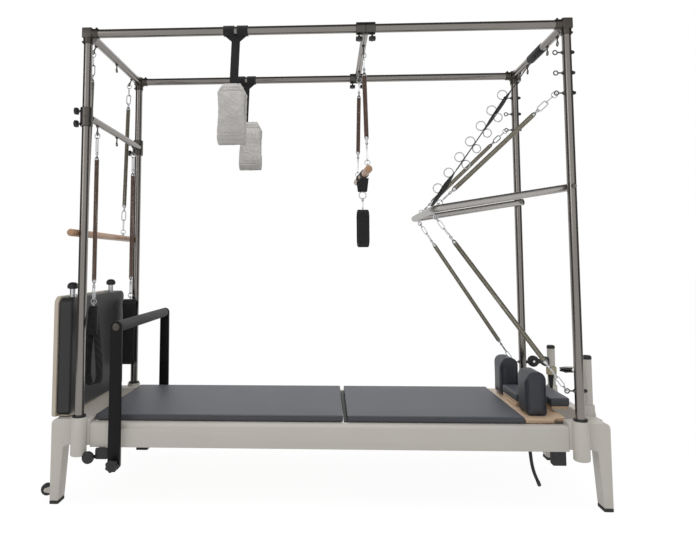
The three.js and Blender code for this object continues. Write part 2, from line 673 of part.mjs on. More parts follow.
// Pulley risers: a tube that slides in its socket on the head beam, with a fork and a rope pulley.
const forkGap = 9;
const pulleyProfile = [[4.3, -7], [pulleyRadius, -7], [pulleyRadius, -5], [pulleyRadius - 5, 0], [pulleyRadius, 5],
  [pulleyRadius, 7], [4.3, 7], [4.3, -7]];
for (const [side, sign, lean, height, topZ] of [['front', -1, 0, 548, 604], ['rear', 1, Math.PI / 2, 515, 590]]) {
  const riser = subassembly(beamX, sign * riserY, 0);
  const tube = turned([[0, 300], [riserRadius, 300], [riserRadius, topZ], [riserRadius - 4, topZ + 6],
    [0, topZ + 6]], tubeSides);
  const cheekShape = new THREE.Shape();
  cheekShape.moveTo(-8, -10);
  cheekShape.absarc(-pulleyReach, 0, 10, -Math.PI / 2, Math.PI / 2, true);
  cheekShape.lineTo(-8, 10);
  const cheeks = [alongZ(cheekShape, -forkGap - 3, -forkGap), alongZ(cheekShape, forkGap, forkGap + 3),
    rod(point(-pulleyReach, 0, -forkGap - 2), point(-pulleyReach, 0, forkGap + 2), 4, 8)];
  const fork = join(...cheeks).rotateX(lean).translate(0, 0, height);
  piece(`riser_${side}`, join(tube, fork), colours.white, riser);
  const pulley = piece(`pulley_${side}`, turned(pulleyProfile, 14).rotateX(lean), colours.black, riser);
  pulley.position.set(-pulleyReach, 0, height);
}

// Sliding crossbars: a tube with fixed eyes between two sleeves that clamp on their rails or posts, with two
// knobs each.
const knobProfile = [[0, -3], [4.5, -3], [4.5, 9], [11, 12], [11, 24], [8, 28], [0, 28]];
function crossbar(sleeveCentre, axis, outward, eyePlaces) {
  const tube = rod(point(0, -sleeveCentre.y + clampRadius - 4, 0), point(0, sleeveCentre.y - clampRadius + 4, 0),
    crossTubeRadius, 12);
  const along = (distance) => sleeveCentre.clone().addScaledVector(axis, distance);
  const sleeve = rod(along(-clampLength / 2), along(clampLength / 2), clampRadius, tubeSides);
  const bore = rod(along(-clampLength), along(clampLength), tubeRadius + clearance, tubeSides);
  const knobs = [-knobPitch / 2, knobPitch / 2].map((offset) => alignTo(turned(knobProfile, 8),
    along(offset).addScaledVector(outward, clampRadius), outward));
  const eyes = eyePlaces.map((y) => eyebolt(point(0, y, 0), down, point(1, 0, 0), crossTubeRadius));
  return join(cut(join(tube, ...pair(sleeve)), ...pair(bore)), ...knobs.flatMap(pair), ...eyes);
}

const footCrossbar = subassembly(-postX + crossbarInset, 0, footCrossbarZ);
piece('foot_crossbar', crossbar(point(-crossbarInset, postY, 0), point(0, 0, 1), point(-1, 0, 0),
  [-hangerY, 0, hangerY]), colours.steel, footCrossbar);
const trapezeSlider = subassembly(trapezeX, 0, topRailZ);
piece('trapeze_slider', crossbar(point(0, postY, 0), point(1, 0, 0), down, [-trapezeHangerY, trapezeHangerY]),
  colours.steel, trapezeSlider);

// A spring between two eyes: a hook ring at each end, a swivel stem and the coil body.
const linkMajor = 12;
const linkMinor = 2;
function springBetween(start, end, bodyStart, bodyEnd, bodyRadius, hookAxis) {
  const way = end.clone().sub(start);
  const length = way.length();
  const stemStart = 2 * linkMajor - 1;
  const body = turned([[0, stemStart], [3.5, stemStart], [3.5, bodyStart - 6], [bodyRadius, bodyStart],
    [bodyRadius, bodyEnd], [3.5, bodyEnd + 6], [3.5, length - stemStart], [0, length - stemStart]], 6);
  const hooks = [linkMajor, length - linkMajor].map((z) => ring(point(0, 0, z), point(0, 1, 0), linkMajor,
    linkMinor));
  return alignTo(join(body, ...hooks), start, way, hookAxis);
}

// A staple on a bar or strap. A spring's hook passes through it.
const stapleRise = 6;
const staple = (centre) => ring(centre, point(1, 0, 0), 8, 2.2);

// Roll-down bar, hung outside the foot posts on two springs from the foot rail.
const rollDownTop = point(-postX, 0, topRailZ).add(point(-rollDownWay.x, 0, rollDownWay.z).multiplyScalar(eyeReach));
const rollDown = subassembly(...rollDownTop.toArray());
const rollDownRadius = 16;
const rollDownBarX = -1088.5 - rollDownTop.x;
const rollDownBarZ = 1152 - rollDownTop.z;
const rollDownEye = (y) => point(rollDownBarX, y, rollDownBarZ + rollDownRadius + stapleRise);
const dowel = rod(point(rollDownBarX, -400, rollDownBarZ), point(rollDownBarX, 400, rollDownBarZ), rollDownRadius,
  12);
piece('roll_down_bar', join(dowel, staple(rollDownEye(-hangerY)), staple(rollDownEye(hangerY))), colours.dowel,
  rollDown);
frontAndRear('roll_down_spring', springBetween(point(0, hangerY, 0), rollDownEye(hangerY), 140, 670, 11),
  colours.springGrey, rollDown);

// Leg springs on the sliding crossbar, the front one with a webbing loop and the rear one with a padded cuff.
const legDrop = footCrossbarZ - eyeReach;
const legSpringEnd = point(0, 0, 835 - legDrop);
function hangingLoop(width, halfDepth, topZ, bottomZ, thickness, run = alongX) {
  const outer = roundedRectangle(-halfDepth, bottomZ, halfDepth, topZ, halfDepth * 0.9, halfDepth * 0.7);
  const inner = roundedRectangle(-halfDepth + thickness, bottomZ + thickness, halfDepth - thickness,
    topZ - thickness, (halfDepth - thickness) * 0.9, (halfDepth - thickness) * 0.7);
  outer.holes.push(inner);
  return run(outer, -width / 2, width / 2, 0, 3);
}
for (const [side, sign, width, halfDepth, run] of [['front', -1, 42, 29, alongY], ['rear', 1, 72, 30, alongX]]) {
  const hanger = subassembly(-postX + crossbarInset, sign * hangerY, legDrop);
  piece(`leg_spring_${side}`, springBetween(point(0, 0, 0), legSpringEnd, 122, 672, 10.5), colours.springBrown,
    hanger);
  const loop = hangingLoop(width, halfDepth, legSpringEnd.z - stapleRise, 480 - legDrop, 5, run);
  piece(`leg_loop_${side}`, join(loop, staple(legSpringEnd)), colours.webbing, hanger);
}

// Trapeze: two springs, a wood bar that hangs slightly turned, and a black sling under it.
const trapezeTop = topRailZ - eyeReach;
const trapeze = subassembly(trapezeX, 0, trapezeTop);
const trapezeDrop = 1442 - trapezeTop;
const trapezeBarRadius = 17;
const trapezeTurn = 0.07;
const trapezeHalfLength = 230;
const trapezeEye = (y) => point(0, y, trapezeDrop + trapezeBarRadius + stapleRise);
const trapezeBar = rod(point(0, -trapezeHalfLength, trapezeDrop), point(0, trapezeHalfLength, trapezeDrop),
  trapezeBarRadius, 12);
piece('trapeze_bar', join(trapezeBar, staple(trapezeEye(-trapezeHangerY)), staple(trapezeEye(trapezeHangerY)))
  .rotateZ(trapezeTurn), colours.dowel, trapeze);
for (const [side, sign] of sides) {
  const end = trapezeEye(sign * trapezeHangerY).applyAxisAngle(point(0, 0, 1), trapezeTurn);
  piece(`trapeze_spring_${side}`, springBetween(point(0, sign * trapezeHangerY, 0), end, 134, 400, 10.5),
    colours.springBrown, trapeze);
}
const slingStrapBottom = 1362 - trapezeTop;
const slingPadTop = 1278 - trapezeTop;
const slingStrap = hangingLoop(50, trapezeBarRadius + 5, trapezeDrop + trapezeBarRadius + 5, slingStrapBottom, 4,
  alongY);
const slingPad = hangingLoop(56, 42, slingPadTop, 1094 - trapezeTop, 12);
const slingClip = rod(point(0, 0, slingPadTop - 3), point(0, 0, slingStrapBottom + 2), 6, 6);
piece('trapeze_sling', join(slingStrap, slingPad, slingClip).rotateZ(trapezeTurn), colours.webbing, trapeze);

// Fleece loops: a webbing hanger looped over the long rail in two places, and a fleece cuff below it.
const fleeceX = -400;
const hangerLoopX = 44;
const hangerDrop = 230;
const bandSides = 12;
const bandInnerRadius = (tubeRadius + clearance) / Math.cos(Math.PI / bandSides);
const hangerPlate = new THREE.Shape();
hangerPlate.moveTo(-hangerLoopX - 13, -tubeRadius - 3);
hangerPlate.lineTo(-12, -80);
hangerPlate.lineTo(-12, -hangerDrop - 3);
hangerPlate.lineTo(12, -hangerDrop - 3);
hangerPlate.lineTo(12, -80);
hangerPlate.lineTo(hangerLoopX + 13, -tubeRadius - 3);
hangerPlate.lineTo(hangerLoopX - 13, -tubeRadius - 3);
hangerPlate.lineTo(0, -66);
hangerPlate.lineTo(-hangerLoopX + 13, -tubeRadius - 3);
for (const [side, sign] of sides) {
  const fleeceLoop = subassembly(fleeceX, sign * postY, topRailZ);
  const bands = [-hangerLoopX, hangerLoopX].map((x) => pipe(point(x - 13, 0, 0), point(x + 13, 0, 0),
    tubeRadius + 4.5, bandInnerRadius, bandSides));
  const hanger = join(alongY(hangerPlate, -2, 2), ...bands);
  const cuff = hangingLoop(132, 40, -hangerDrop, -hangerDrop - 285, 13);
  piece(`fleece_loop_${side}`, join(hanger, cuff), colours.fleece, fleeceLoop);
}

// Push-through bar: one bent tube on the head posts' pivot bolts, with eyebolts for its springs and strap.
const pushBar = subassembly(postX, 0, pushPivotZ);
const pushCorner = point(pushEndX - postX, 0, pushEndZ - pushPivotZ);
const armTip = pushCorner.clone().normalize().multiplyScalar(-16);
const pushCorners = [armTip.clone().setY(-pushArmY), pushCorner.clone().setY(-pushArmY),
  pushCorner.clone().setY(pushArmY), armTip.clone().setY(pushArmY)];
const pushPath = bentPath(pushCorners, 42, 4);
const upperAnchor = point(postX - eyeReach, postY, upperEyeHeights[0]);
const lowerAnchor = point(postX - eyeReach, postY, lowerEyeZ);
const pushEnd = point(pushEndX, 0, pushEndZ);
const upperWay = upperAnchor.clone().sub(pushEnd).setY(0).normalize();
const lowerWay = lowerAnchor.clone().sub(pushEnd).setY(0).normalize();
const upperY = 252;
const lowerY = 222;
const squareTo = (way) => point(way.z, 0, -way.x);
const pushEye = (y, way, holeAxis) => eyebolt(pushCorner.clone().setY(y), way, holeAxis, pushTubeRadius,
  pushEyeReach);
const boltHole = rod(point(0, pushArmY - 30, 0), point(0, pushArmY + 30, 0), pivotBoltRadius + 0.5, 8);
const pushEyes = [pushEye(0, upperWay, squareTo(upperWay)), ...pair(pushEye(upperY, upperWay, squareTo(upperWay))),
  ...pair(pushEye(lowerY, lowerWay, point(0, 1, 0)))];
const pushTube = cut(sweptTube(pushPath, 11, pushTubeRadius, 10), ...pair(boltHole));
piece('push_bar', join(pushTube, ...pushEyes), colours.steel, pushBar);

const upperEnd = pushEnd.clone().setY(upperY).addScaledVector(upperWay, pushEyeReach);
const lowerEnd = pushEnd.clone().setY(lowerY).addScaledVector(lowerWay, pushEyeReach);
frontAndRear('push_spring_upper', springBetween(upperEnd, upperAnchor, 100, 555, 11), colours.springGrey);
frontAndRear('push_spring_lower', springBetween(lowerEnd, lowerAnchor, 140, 755, 11, squareTo(lowerWay)),
  colours.springGrey);

// Safety strap: webbing from the head rail to the middle of the push-through bar, with steel rings along it.
const strapTop = point(postX, 0, topRailZ);
const strapEnd = pushEnd.clone().addScaledVector(upperWay, pushEyeReach + 2 * linkMajor - 1);
const strapHeading = strapEnd.clone().sub(strapTop).normalize();
const strapSquare = squareTo(strapHeading);
const strapStart = strapTop.clone().addScaledVector(strapHeading, tubeRadius + 2);
const strapLength = strapStart.distanceTo(strapEnd);
const strapHalfThickness = 2;
const strapHalfWidth = 19;
const strapShape = new THREE.Shape();
strapShape.moveTo(-strapHalfThickness, 0);
strapShape.lineTo(strapHalfThickness, 0);
strapShape.lineTo(strapHalfThickness, strapLength);
strapShape.lineTo(-strapHalfThickness, strapLength);
const strapBand = alignTo(alongY(strapShape, -strapHalfWidth, strapHalfWidth), strapStart, strapHeading);
const strapWrap = pipe(point(postX, -85, topRailZ), point(postX, 85, topRailZ), tubeRadius + 4, tubeRadius + clearance,
  tubeSides);
const strapLink = ring(pushEnd.clone().addScaledVector(upperWay, pushEyeReach + linkMajor), point(0, 1, 0),
  linkMajor, linkMinor);
const ringCount = 7;
const ringRadius = 24;
const strapRings = [];
for (let i = 0; i < ringCount; i += 1) {
  const centre = strapStart.clone().addScaledVector(strapHeading, strapLength * (0.275 + 0.104 * i))
    .addScaledVector(strapSquare, ringRadius + strapHalfThickness);
  strapRings.push(ring(centre, point(0, 1, 0), ringRadius, 2.6, 10));
}
piece('safety_strap', join(strapBand, strapWrap, strapLink, ...strapRings), colours.webbing);

export default table;
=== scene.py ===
"""A combination reformer and trapeze table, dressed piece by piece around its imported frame."""
import math

import bmesh
import bpy
from mathutils import Matrix, Vector, noise


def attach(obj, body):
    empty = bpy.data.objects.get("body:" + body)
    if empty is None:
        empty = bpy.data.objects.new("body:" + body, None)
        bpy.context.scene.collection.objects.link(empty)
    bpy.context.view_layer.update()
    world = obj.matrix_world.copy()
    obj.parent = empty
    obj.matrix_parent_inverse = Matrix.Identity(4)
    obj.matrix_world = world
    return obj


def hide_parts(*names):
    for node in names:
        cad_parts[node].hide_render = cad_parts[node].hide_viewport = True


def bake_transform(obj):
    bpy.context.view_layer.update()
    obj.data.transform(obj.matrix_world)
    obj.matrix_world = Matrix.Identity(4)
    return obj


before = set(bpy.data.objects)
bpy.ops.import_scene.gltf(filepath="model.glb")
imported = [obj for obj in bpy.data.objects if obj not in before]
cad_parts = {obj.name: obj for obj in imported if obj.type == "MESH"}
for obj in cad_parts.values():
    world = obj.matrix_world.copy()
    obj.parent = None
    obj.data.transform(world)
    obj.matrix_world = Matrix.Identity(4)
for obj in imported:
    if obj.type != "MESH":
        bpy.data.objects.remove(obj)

scene = bpy.context.scene
scene.view_settings.view_transform = "Standard"
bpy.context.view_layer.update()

# Camera. It stands 2.5 m in front of the near rail, opposite the table's middle and 1.02 m above the floor,
# and is turned a little to the left and tilted a little up, as the photograph's was.
picture_width, picture_height = 696, 538
focal_length = 579.3
principal_x, principal_y = 303.0, 219.6
camera = bpy.data.objects.new("camera", bpy.data.cameras.new("camera"))
camera.data.sensor_width = 36
camera.data.lens = 36 * focal_length / picture_width
camera.data.shift_x = (picture_width / 2 - principal_x) / picture_width
camera.data.shift_y = (principal_y - picture_height / 2) / picture_width
camera_stand = (0.0392, -2.8356, 1.0224)
turn_left, tilt_up, roll = (math.radians(angle) for angle in (2.44, 4.18, 0.18))
camera.matrix_world = (
    Matrix.Translation(camera_stand)
    @ Matrix.Rotation(turn_left, 4, "Z")
    @ Matrix.Rotation(tilt_up, 4, "X")
    @ Matrix.Rotation(roll, 4, "Y")
    @ Matrix.Rotation(math.pi / 2, 4, "X")
)
scene.collection.objects.link(camera)
scene.camera = camera


# Rope tail. The end of a braided polyester rope that leaves the carriage underneath and hangs below the
# rail, with a shrunk black sleeve on its cut end.
centre_shift = 24.2


def in_frame(x, y, z):
    """A place in the drawing's millimetres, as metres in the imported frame."""
    return Vector((x + centre_shift, y, z)) / 1000


def linear(code):
    """An sRGB hex colour as the linear colour that a shader takes."""
    shares = [int(code[i : i + 2], 16) / 255 for i in (0, 2, 4)]
    return [s / 12.92 if s <= 0.04045 else ((s + 0.055) / 1.055) ** 2.4 for s in shares] + [1]


def add_node(tree, kind, settings=None, inputs=None):
    """Adds a shader node. An input is a value, an output socket, or a node whose first output feeds it."""
    node = tree.nodes.new("ShaderNode" + kind)
    for name, value in (settings or {}).items():
        setattr(node, name, value)
    for name, value in (inputs or {}).items():
        if isinstance(value, bpy.types.Node):
            value = value.outputs[0]
        if isinstance(value, bpy.types.NodeSocket):
            tree.links.new(value, node.inputs[name])
        else:
            node.inputs[name].default_value = value
    return node


def start_material(name):
    """An empty material: its tree and its Object coordinates."""
    material = bpy.data.materials.new(name)
    material.use_nodes = True
    material.node_tree.nodes.clear()
    place = add_node(material.node_tree, "TexCoord").outputs["Object"]
    return material, material.node_tree, place


def end_material(tree, shader_inputs):
    """Closes a material with a shader that takes these values and outputs."""
    shader = add_node(tree, "BsdfPrincipled", inputs=shader_inputs)
    add_node(tree, "OutputMaterial", inputs={"Surface": shader})


def worked_surface(name, light, dark, patch, grain, relief, rough, stretch=(1, 1, 1), spread=0.08, **fixed):
    """A plain finish: soft patches between two colours, and a fine grain in roughness and relief. Patches,
    grain and relief are sized in mm."""
    material, tree, place = start_material(name)
    stretched = add_node(tree, "Mapping", inputs={"Vector": place, "Scale": stretch})
    patches = add_node(tree, "TexNoise", inputs={"Vector": place, "Scale": 1000 / patch, "Detail": 3})
    fine = add_node(tree, "TexNoise", inputs={"Vector": stretched, "Scale": 1000 / grain, "Detail": 2})
    colour = add_node(tree, "MixRGB", inputs={
        "Fac": patches, "Color1": linear(dark), "Color2": linear(light)})
    roughness = add_node(tree, "MapRange", inputs={
        "Value": fine, "From Min": 0.3, "From Max": 0.7, "To Min": rough - spread, "To Max": rough + spread})
    bump = add_node(tree, "Bump", inputs={"Height": fine, "Distance": relief / 1000})
    end_material(tree, {"Base Color": colour, "Roughness": roughness, "Normal": bump, **fixed})
    return material


# A wave texture draws this many bands in one unit at scale 1.
wave_bands = 3.2


def woven(name, light, dark, rib, slant, rough, sheen):
    """Woven polyester: ribs of that width in mm, crossed by a slanted set, dull and slightly fuzzy."""
    material, tree, place = start_material(name)
    turned_place = add_node(tree, "Mapping", inputs={"Vector": place, "Rotation": slant})
    ribs = [
        add_node(tree, "TexWave", {"bands_direction": direction}, {
            "Vector": turned_place, "Scale": 1000 / rib / wave_bands, "Distortion": 0.6, "Detail": 1,
        }).outputs["Fac"]
        for direction in ("Z", "X")
    ]
    weave = add_node(tree, "Math", {"operation": "MULTIPLY"}, dict(enumerate(ribs)))
    # The colour follows the weave's relief, darker in its grooves: painted shade between the ribs.
    colour = add_node(tree, "MixRGB", inputs={"Fac": weave, "Color1": linear(dark), "Color2": linear(light)})
    bump = add_node(tree, "Bump", inputs={"Height": weave, "Distance": rib / 4000})
    end_material(tree, {"Base Color": colour, "Roughness": rough, "Sheen Weight": sheen, "Normal": bump})
    return material


# The real ribs, about 2 mm, are drawn at 3 mm on the webbing and at 5 mm on the rope, so that they show.
webbing = woven("black polyester webbing", "2a2a2c", "0e0e0f", 3, (0, 0, 0.6), 0.8, 0.15)
rope_weave = woven("black braided rope", "333336", "0f0f10", 5, (0.6, 0.5, 0.3), 0.75, 0.2)
moulded_black = worked_surface("moulded black nylon", "242426", "161617", 60, 1.2, 0.05, 0.48)

tail_route = [(868, -262, 336.4), (869, -262, 262), (872, -262, 205), (882, -262, 138), (906, -262, 74)]
tail_curve = bpy.data.curves.new("rope_tail_rope", "CURVE")
tail_curve.dimensions = "3D"
tail_curve.bevel_depth = 0.007
tail_curve.bevel_resolution = 6
tail_curve.resolution_u = 8
tail_curve.use_fill_caps = True
tail_line = tail_curve.splines.new("BEZIER")
tail_line.bezier_points.add(len(tail_route) - 1)
for knot, spot in zip(tail_line.bezier_points, tail_route):
    knot.co = in_frame(*spot)
    knot.handle_left_type = knot.handle_right_type = "AUTO"
tail_curve.materials.append(rope_weave)
rope_tail = bpy.data.objects.new("rope_tail_rope", tail_curve)
scene.collection.objects.link(rope_tail)
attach(rope_tail, "carriage")
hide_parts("rope_tail")


def placing(base, way, across):
    """The matrix that takes a part made along +Z from the origin to base and along way, +Y towards across."""
    along = Vector(way).normalized()
    side = Vector(across)
    side = (side - along * side.dot(along)).normalized()
    turn = Matrix((side.cross(along), side, along)).transposed().to_4x4()
    return Matrix.Translation(base) @ turn


def placed(part, base, way=(0, 0, 1), across=(0, 1, 0)):
    """Moves a part made along +Z from the origin to its place."""
    part.transform(placing(base, way, across))
    return part


def turned(profile, segments):
    """A form spun round +Z from a profile of (radius, height) in mm."""
    part = bmesh.new()
    spots = [part.verts.new((radius, 0, height)) for radius, height in profile]
    edges = [part.edges.new(ends) for ends in zip(spots, spots[1:])]
    bmesh.ops.spin(part, geom=spots + edges, cent=(0, 0, 0), axis=(0, 0, 1), angle=2 * math.pi,
                   steps=segments, use_merge=True)
    bmesh.ops.remove_doubles(part, verts=part.verts, dist=1e-3)
    bmesh.ops.recalc_face_normals(part, faces=part.faces)
    return part


def joined(*parts):
    """The parts as one, each still a closed shell of its own."""
    whole = bmesh.new()
    for part in parts:
        held = bpy.data.meshes.new("held")
        part.to_mesh(held)
        part.free()
        whole.from_mesh(held)
        bpy.data.meshes.remove(held)
    return whole


def set_piece(name, part, material, body=None, stands_for=(), bend=None):
    """Makes a piece from a part in drawing millimetres and fixes it to its body. A piece given a bend is
    fixed to no body; only its place is baked in.
    """
    part.transform(Matrix.Scale(0.001, 4) @ Matrix.Translation((centre_shift, 0, 0)))
    mesh = bpy.data.meshes.new(name)
    part.to_mesh(mesh)
    part.free()
    mesh.materials.append(material)
    mesh.shade_smooth()
    mesh.set_sharp_from_angle(angle=math.radians(38))
    made = bpy.data.objects.new(name, mesh)
    scene.collection.objects.link(made)
    if bend:
        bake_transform(made)
    else:
        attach(made, body)
    if stands_for:
        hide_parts(*stands_for)
    return made


tail_heading = Vector(tail_route[-1]) - Vector(tail_route[-2])
end_sleeve = turned([(0, -18), (7.4, -18), (8, -16), (8, -2), (6.5, 2), (3, 4), (0, 4)], 24)
rope_end = set_piece("rope_tail_sleeve", placed(end_sleeve, tail_route[-1], tail_heading), moulded_black,
                     "carriage")

# Studio. A pale floor that runs to white for the camera and for the metal, a soft box overhead, a weaker one
# at the front left, and dark cards overhead and at the sides that only polished metal sees.
world = bpy.data.worlds.new("studio")
scene.world = world
world.use_nodes = True
world.node_tree.nodes.clear()


def white_for_sight(tree, shader, share, strength=1.0):
    """Mixes plain white into a shader, by that share, for camera, glossy and transmission rays."""
    path = add_node(tree, "LightPath")
    seen = path.outputs["Is Camera Ray"]
    for ray in ("Is Glossy Ray", "Is Transmission Ray"):
        seen = add_node(tree, "Math", {"operation": "MAXIMUM"}, {0: seen, 1: path.outputs[ray]})
    amount = add_node(tree, "Math", {"operation": "MULTIPLY"}, {0: seen, 1: share})
    white = add_node(tree, "Emission", inputs={"Color": (1, 1, 1, 1), "Strength": strength})
    return add_node(tree, "MixShader", inputs={0: amount, 1: shader, 2: white})


sky = add_node(world.node_tree, "Background", inputs={"Color": (1, 1, 1, 1), "Strength": 0.56})
add_node(world.node_tree, "OutputWorld", inputs={"Surface": white_for_sight(world.node_tree, sky, 1.0)})


def stage_card(name, corners, material):
    """A flat sheet that belongs to the studio."""
    sheet = bmesh.new()
    sheet.faces.new([sheet.verts.new(corner) for corner in corners])
    mesh = bpy.data.meshes.new(name)
    sheet.to_mesh(mesh)
    sheet.free()
    mesh.materials.append(material)
    card = bpy.data.objects.new(name, mesh)
    scene.collection.objects.link(card)
    return card


floor_paint, floor_tree, floor_place = start_material("studio floor")
floor_mottle = add_node(floor_tree, "TexNoise", inputs={"Vector": floor_place, "Scale": 2})
floor_colour = add_node(floor_tree, "MixRGB", inputs={
    "Fac": floor_mottle, "Color1": linear("f4f4f3"), "Color2": linear("f6f6f6")})
floor_diffuse = add_node(floor_tree, "BsdfDiffuse", inputs={"Color": floor_colour})
add_node(floor_tree, "OutputMaterial",
         inputs={"Surface": white_for_sight(floor_tree, floor_diffuse, 0.9, 1.05)})
stage_card("floor", [(-30, -30, 0), (30, -30, 0), (30, 30, 0), (-30, 30, 0)], floor_paint)

card_black = worked_surface("flocked card", "2c2c2c", "242424", 300, 10, 0.1, 0.9,
                            **{"Emission Color": (1, 1, 1, 1), "Emission Strength": 0.12})
dark_cards = {"overhead": [(-5, -3.4, 4.9), (5, -3.4, 4.9), (5, 4, 4.9), (-5, 4, 4.9)]}
for name, x in (("left", -4.2), ("right", 4.2)):
    dark_cards[name] = [(x, -3.2, 0), (x, 1.6, 0), (x, 1.6, 4.2), (x, -3.2, 4.2)]
for name, corners in dark_cards.items():
    dark_card = stage_card(f"dark_card_{name}", corners, card_black)
    dark_card.visible_camera = dark_card.visible_diffuse = dark_card.visible_shadow = False

for name, spot, aim, size, watts, mirrored_in_metal in (
    ("soft_box_top", (0.2, -0.6, 4.6), (0, 0, 0), 3.4, 92, False),
    ("soft_box_left", (-3.6, -4.2, 2.6), (0, 0, 0.8), 2.2, 22, True),
):
    lamp = bpy.data.lights.new(name, "AREA")
    lamp.size = size
    lamp.energy = watts
    holder = bpy.data.objects.new(name, lamp)
    holder.visible_glossy = mirrored_in_metal
    holder.location = spot
    holder.rotation_euler = (Vector(aim) - Vector(spot)).to_track_quat("-Z", "Y").to_euler()
    scene.collection.objects.link(holder)

# Side rails. Powder-coated aluminium sections, 100 mm deep, with a rounded shoulder, a roller track inside
# and a bracket for the foot bar's pivot. The coat is satin with a faint orange peel.
rail_paint = worked_surface("warm white powder coat", "cac6bf", "c2bdb5", 400, 1.6, 0.06, 0.42, spread=0.05)


def copied_node(node, edge):
    """A CAD node's mesh in drawing millimetres, merged, with its flat faces whole and its edges eased."""
    part = bmesh.new()
    part.from_mesh(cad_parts[node].data)
    part.transform(Matrix.Translation((-centre_shift, 0, 0)) @ Matrix.Scale(1000, 4))
    bmesh.ops.remove_doubles(part, verts=part.verts, dist=0.02)
    bmesh.ops.dissolve_limit(part, angle_limit=math.radians(1), verts=part.verts, edges=part.edges)
    sharp = [e for e in part.edges if e.is_manifold and e.calc_face_angle() > math.radians(50)]
    bmesh.ops.bevel(part, geom=sharp, offset=edge, segments=2, affect="EDGES", profile=0.5, material=-1,
                    clamp_overlap=True)
    return part


for side in ("front", "rear"):
    set_piece(f"side_rail_{side}_section", copied_node(f"side_rail_{side}", 1), rail_paint,
              "frame", [f"side_rail_{side}"])


# End frames. Cast aluminium legs with a round post socket each, joined by a box beam and painted like the
# rails. The foot end has forks for the transport wheels, the head end two sockets for the pulley risers.
def arc(x, y, radius, start, end, steps=10):
    """Points round a centre, from one angle to another in degrees."""
    angles = [math.radians(start + (end - start) * i / steps) for i in range(steps + 1)]
    return [(x + radius * math.cos(a), y + radius * math.sin(a)) for a in angles]


def slab(outline, thickness, edge, steps=3):
    """An outline in x and y, raised to a thickness along +Z, with its edges rounded."""
    part = bmesh.new()
    face = part.faces.new([part.verts.new((x, y, 0)) for x, y in outline])
    raised = bmesh.ops.extrude_face_region(part, geom=[face])["geom"]
    bmesh.ops.translate(part, vec=(0, 0, thickness),
                        verts=[g for g in raised if isinstance(g, bmesh.types.BMVert)])
    bmesh.ops.remove_doubles(part, verts=part.verts, dist=1e-3)
    bmesh.ops.recalc_face_normals(part, faces=part.faces)
    if edge:
        sharp = [e for e in part.edges if e.calc_face_angle(0) > math.radians(40)]
        bmesh.ops.bevel(part, geom=sharp, offset=edge, segments=steps, affect="EDGES", profile=0.5,
                        material=-1, clamp_overlap=True)
    return part


def along_y(outline, start, end, edge=0.0, steps=3):
    """A slab of an outline in X and Z that runs along Y."""
    return placed(slab(outline, end - start, edge, steps), (0, end, 0), (0, -1, 0), (0, 0, 1))


def along_x(outline, start, end, edge=0.0, steps=3):
    """A slab of an outline in Y and Z that runs along X."""
    return placed(slab(outline, end - start, edge, steps), (start, 0, 0), (1, 0, 0), (0, 0, 1))


def rounded_box(left, bottom, right, top, radius, top_radius=None, steps=8):
    """An outline with rounded corners."""
    upper = radius if top_radius is None else top_radius
    return (arc(right - radius, bottom + radius, radius, -90, 0, steps)
            + arc(right - upper, top - upper, upper, 0, 90, steps)
            + arc(left + upper, top - upper, upper, 90, 180, steps)
            + arc(left + radius, bottom + radius, radius, 180, 270, steps))


def mirrored(part, x, y):
    """A mirror copy of a part: x or y is -1 where it is turned over."""
    twin = part.copy()
    bmesh.ops.scale(twin, vec=(x, y, 1), verts=twin.verts)
    if x * y < 0:
        bmesh.ops.reverse_faces(twin, faces=twin.faces)
    return twin


def both_sides(part):
    """A part of one side of the table, with its mirror copy on the other side."""
    return joined(part, mirrored(part, 1, -1))


def crosswise(part, base):
    """A part made along +Z, laid across the table with its origin at base."""
    return placed(part, base, (0, 1, 0), (0, 0, 1))


def two_halves(lower):
    """A profile from its lower half: the upper one mirrors it, and a hollow form is closed."""
    upper = [(radius, -height) for radius, height in reversed(lower) if height]
    return lower + upper + (lower[:1] if lower[0][0] else [])


post_x, post_y = 1050, 350
beam_x = 1146
leg_side = ([(1005, 246), *arc(1103, 228, 18, 90, 0), (1137, 14), (1174, 14)]
            + arc(1152, 332, 22, 0, 90) + [(1005, 354)])
post_socket = [(0, 206), (27, 206), (31, 208), (33, 212), (33, 364), (32, 366), (19.4, 366), (19.4, 240),
               (0, 240)]
cast_leg = joined(along_y(leg_side, 278, 343, 3), placed(turned(post_socket, 48), (post_x, post_y, 0)))
end_beam = along_y(rounded_box(beam_x - 24, 262, beam_x + 24, 354, 6), -282, 282)
legs_and_beam = joined(both_sides(cast_leg), end_beam)
wheel_x, wheel_y, wheel_z = 1199, 310.5, 50
fork_ear = [(1162, 72), (1162, 36), *arc(wheel_x, wheel_z, 9, -90, 90)]
fork = [along_y(fork_ear, wheel_y + low, wheel_y + low + 4, 1) for low in (-16, 12)]
axle_profile = two_halves([(0, -20), (6, -20), (7, -18.5), (7, -16), (4, -16)])
axle = crosswise(turned(axle_profile, 20), (wheel_x, wheel_y, wheel_z))
foot_end = joined(legs_and_beam.copy(), both_sides(joined(*fork, axle)))
set_piece("foot_end_casting", mirrored(foot_end, -1, 1), rail_paint, "frame",
          ["foot_end_frame"])
riser_y = 206
riser_socket = [(19.3, 353), (29, 353), (29, 361), (26, 368), (25, 396), (24, 398), (19.3, 398), (19.3, 353)]
riser_sockets = both_sides(placed(turned(riser_socket, 48), (beam_x, riser_y, 0)))
set_piece("head_end_casting", joined(legs_and_beam, riser_sockets), rail_paint, "frame",
          ["head_end_frame"])

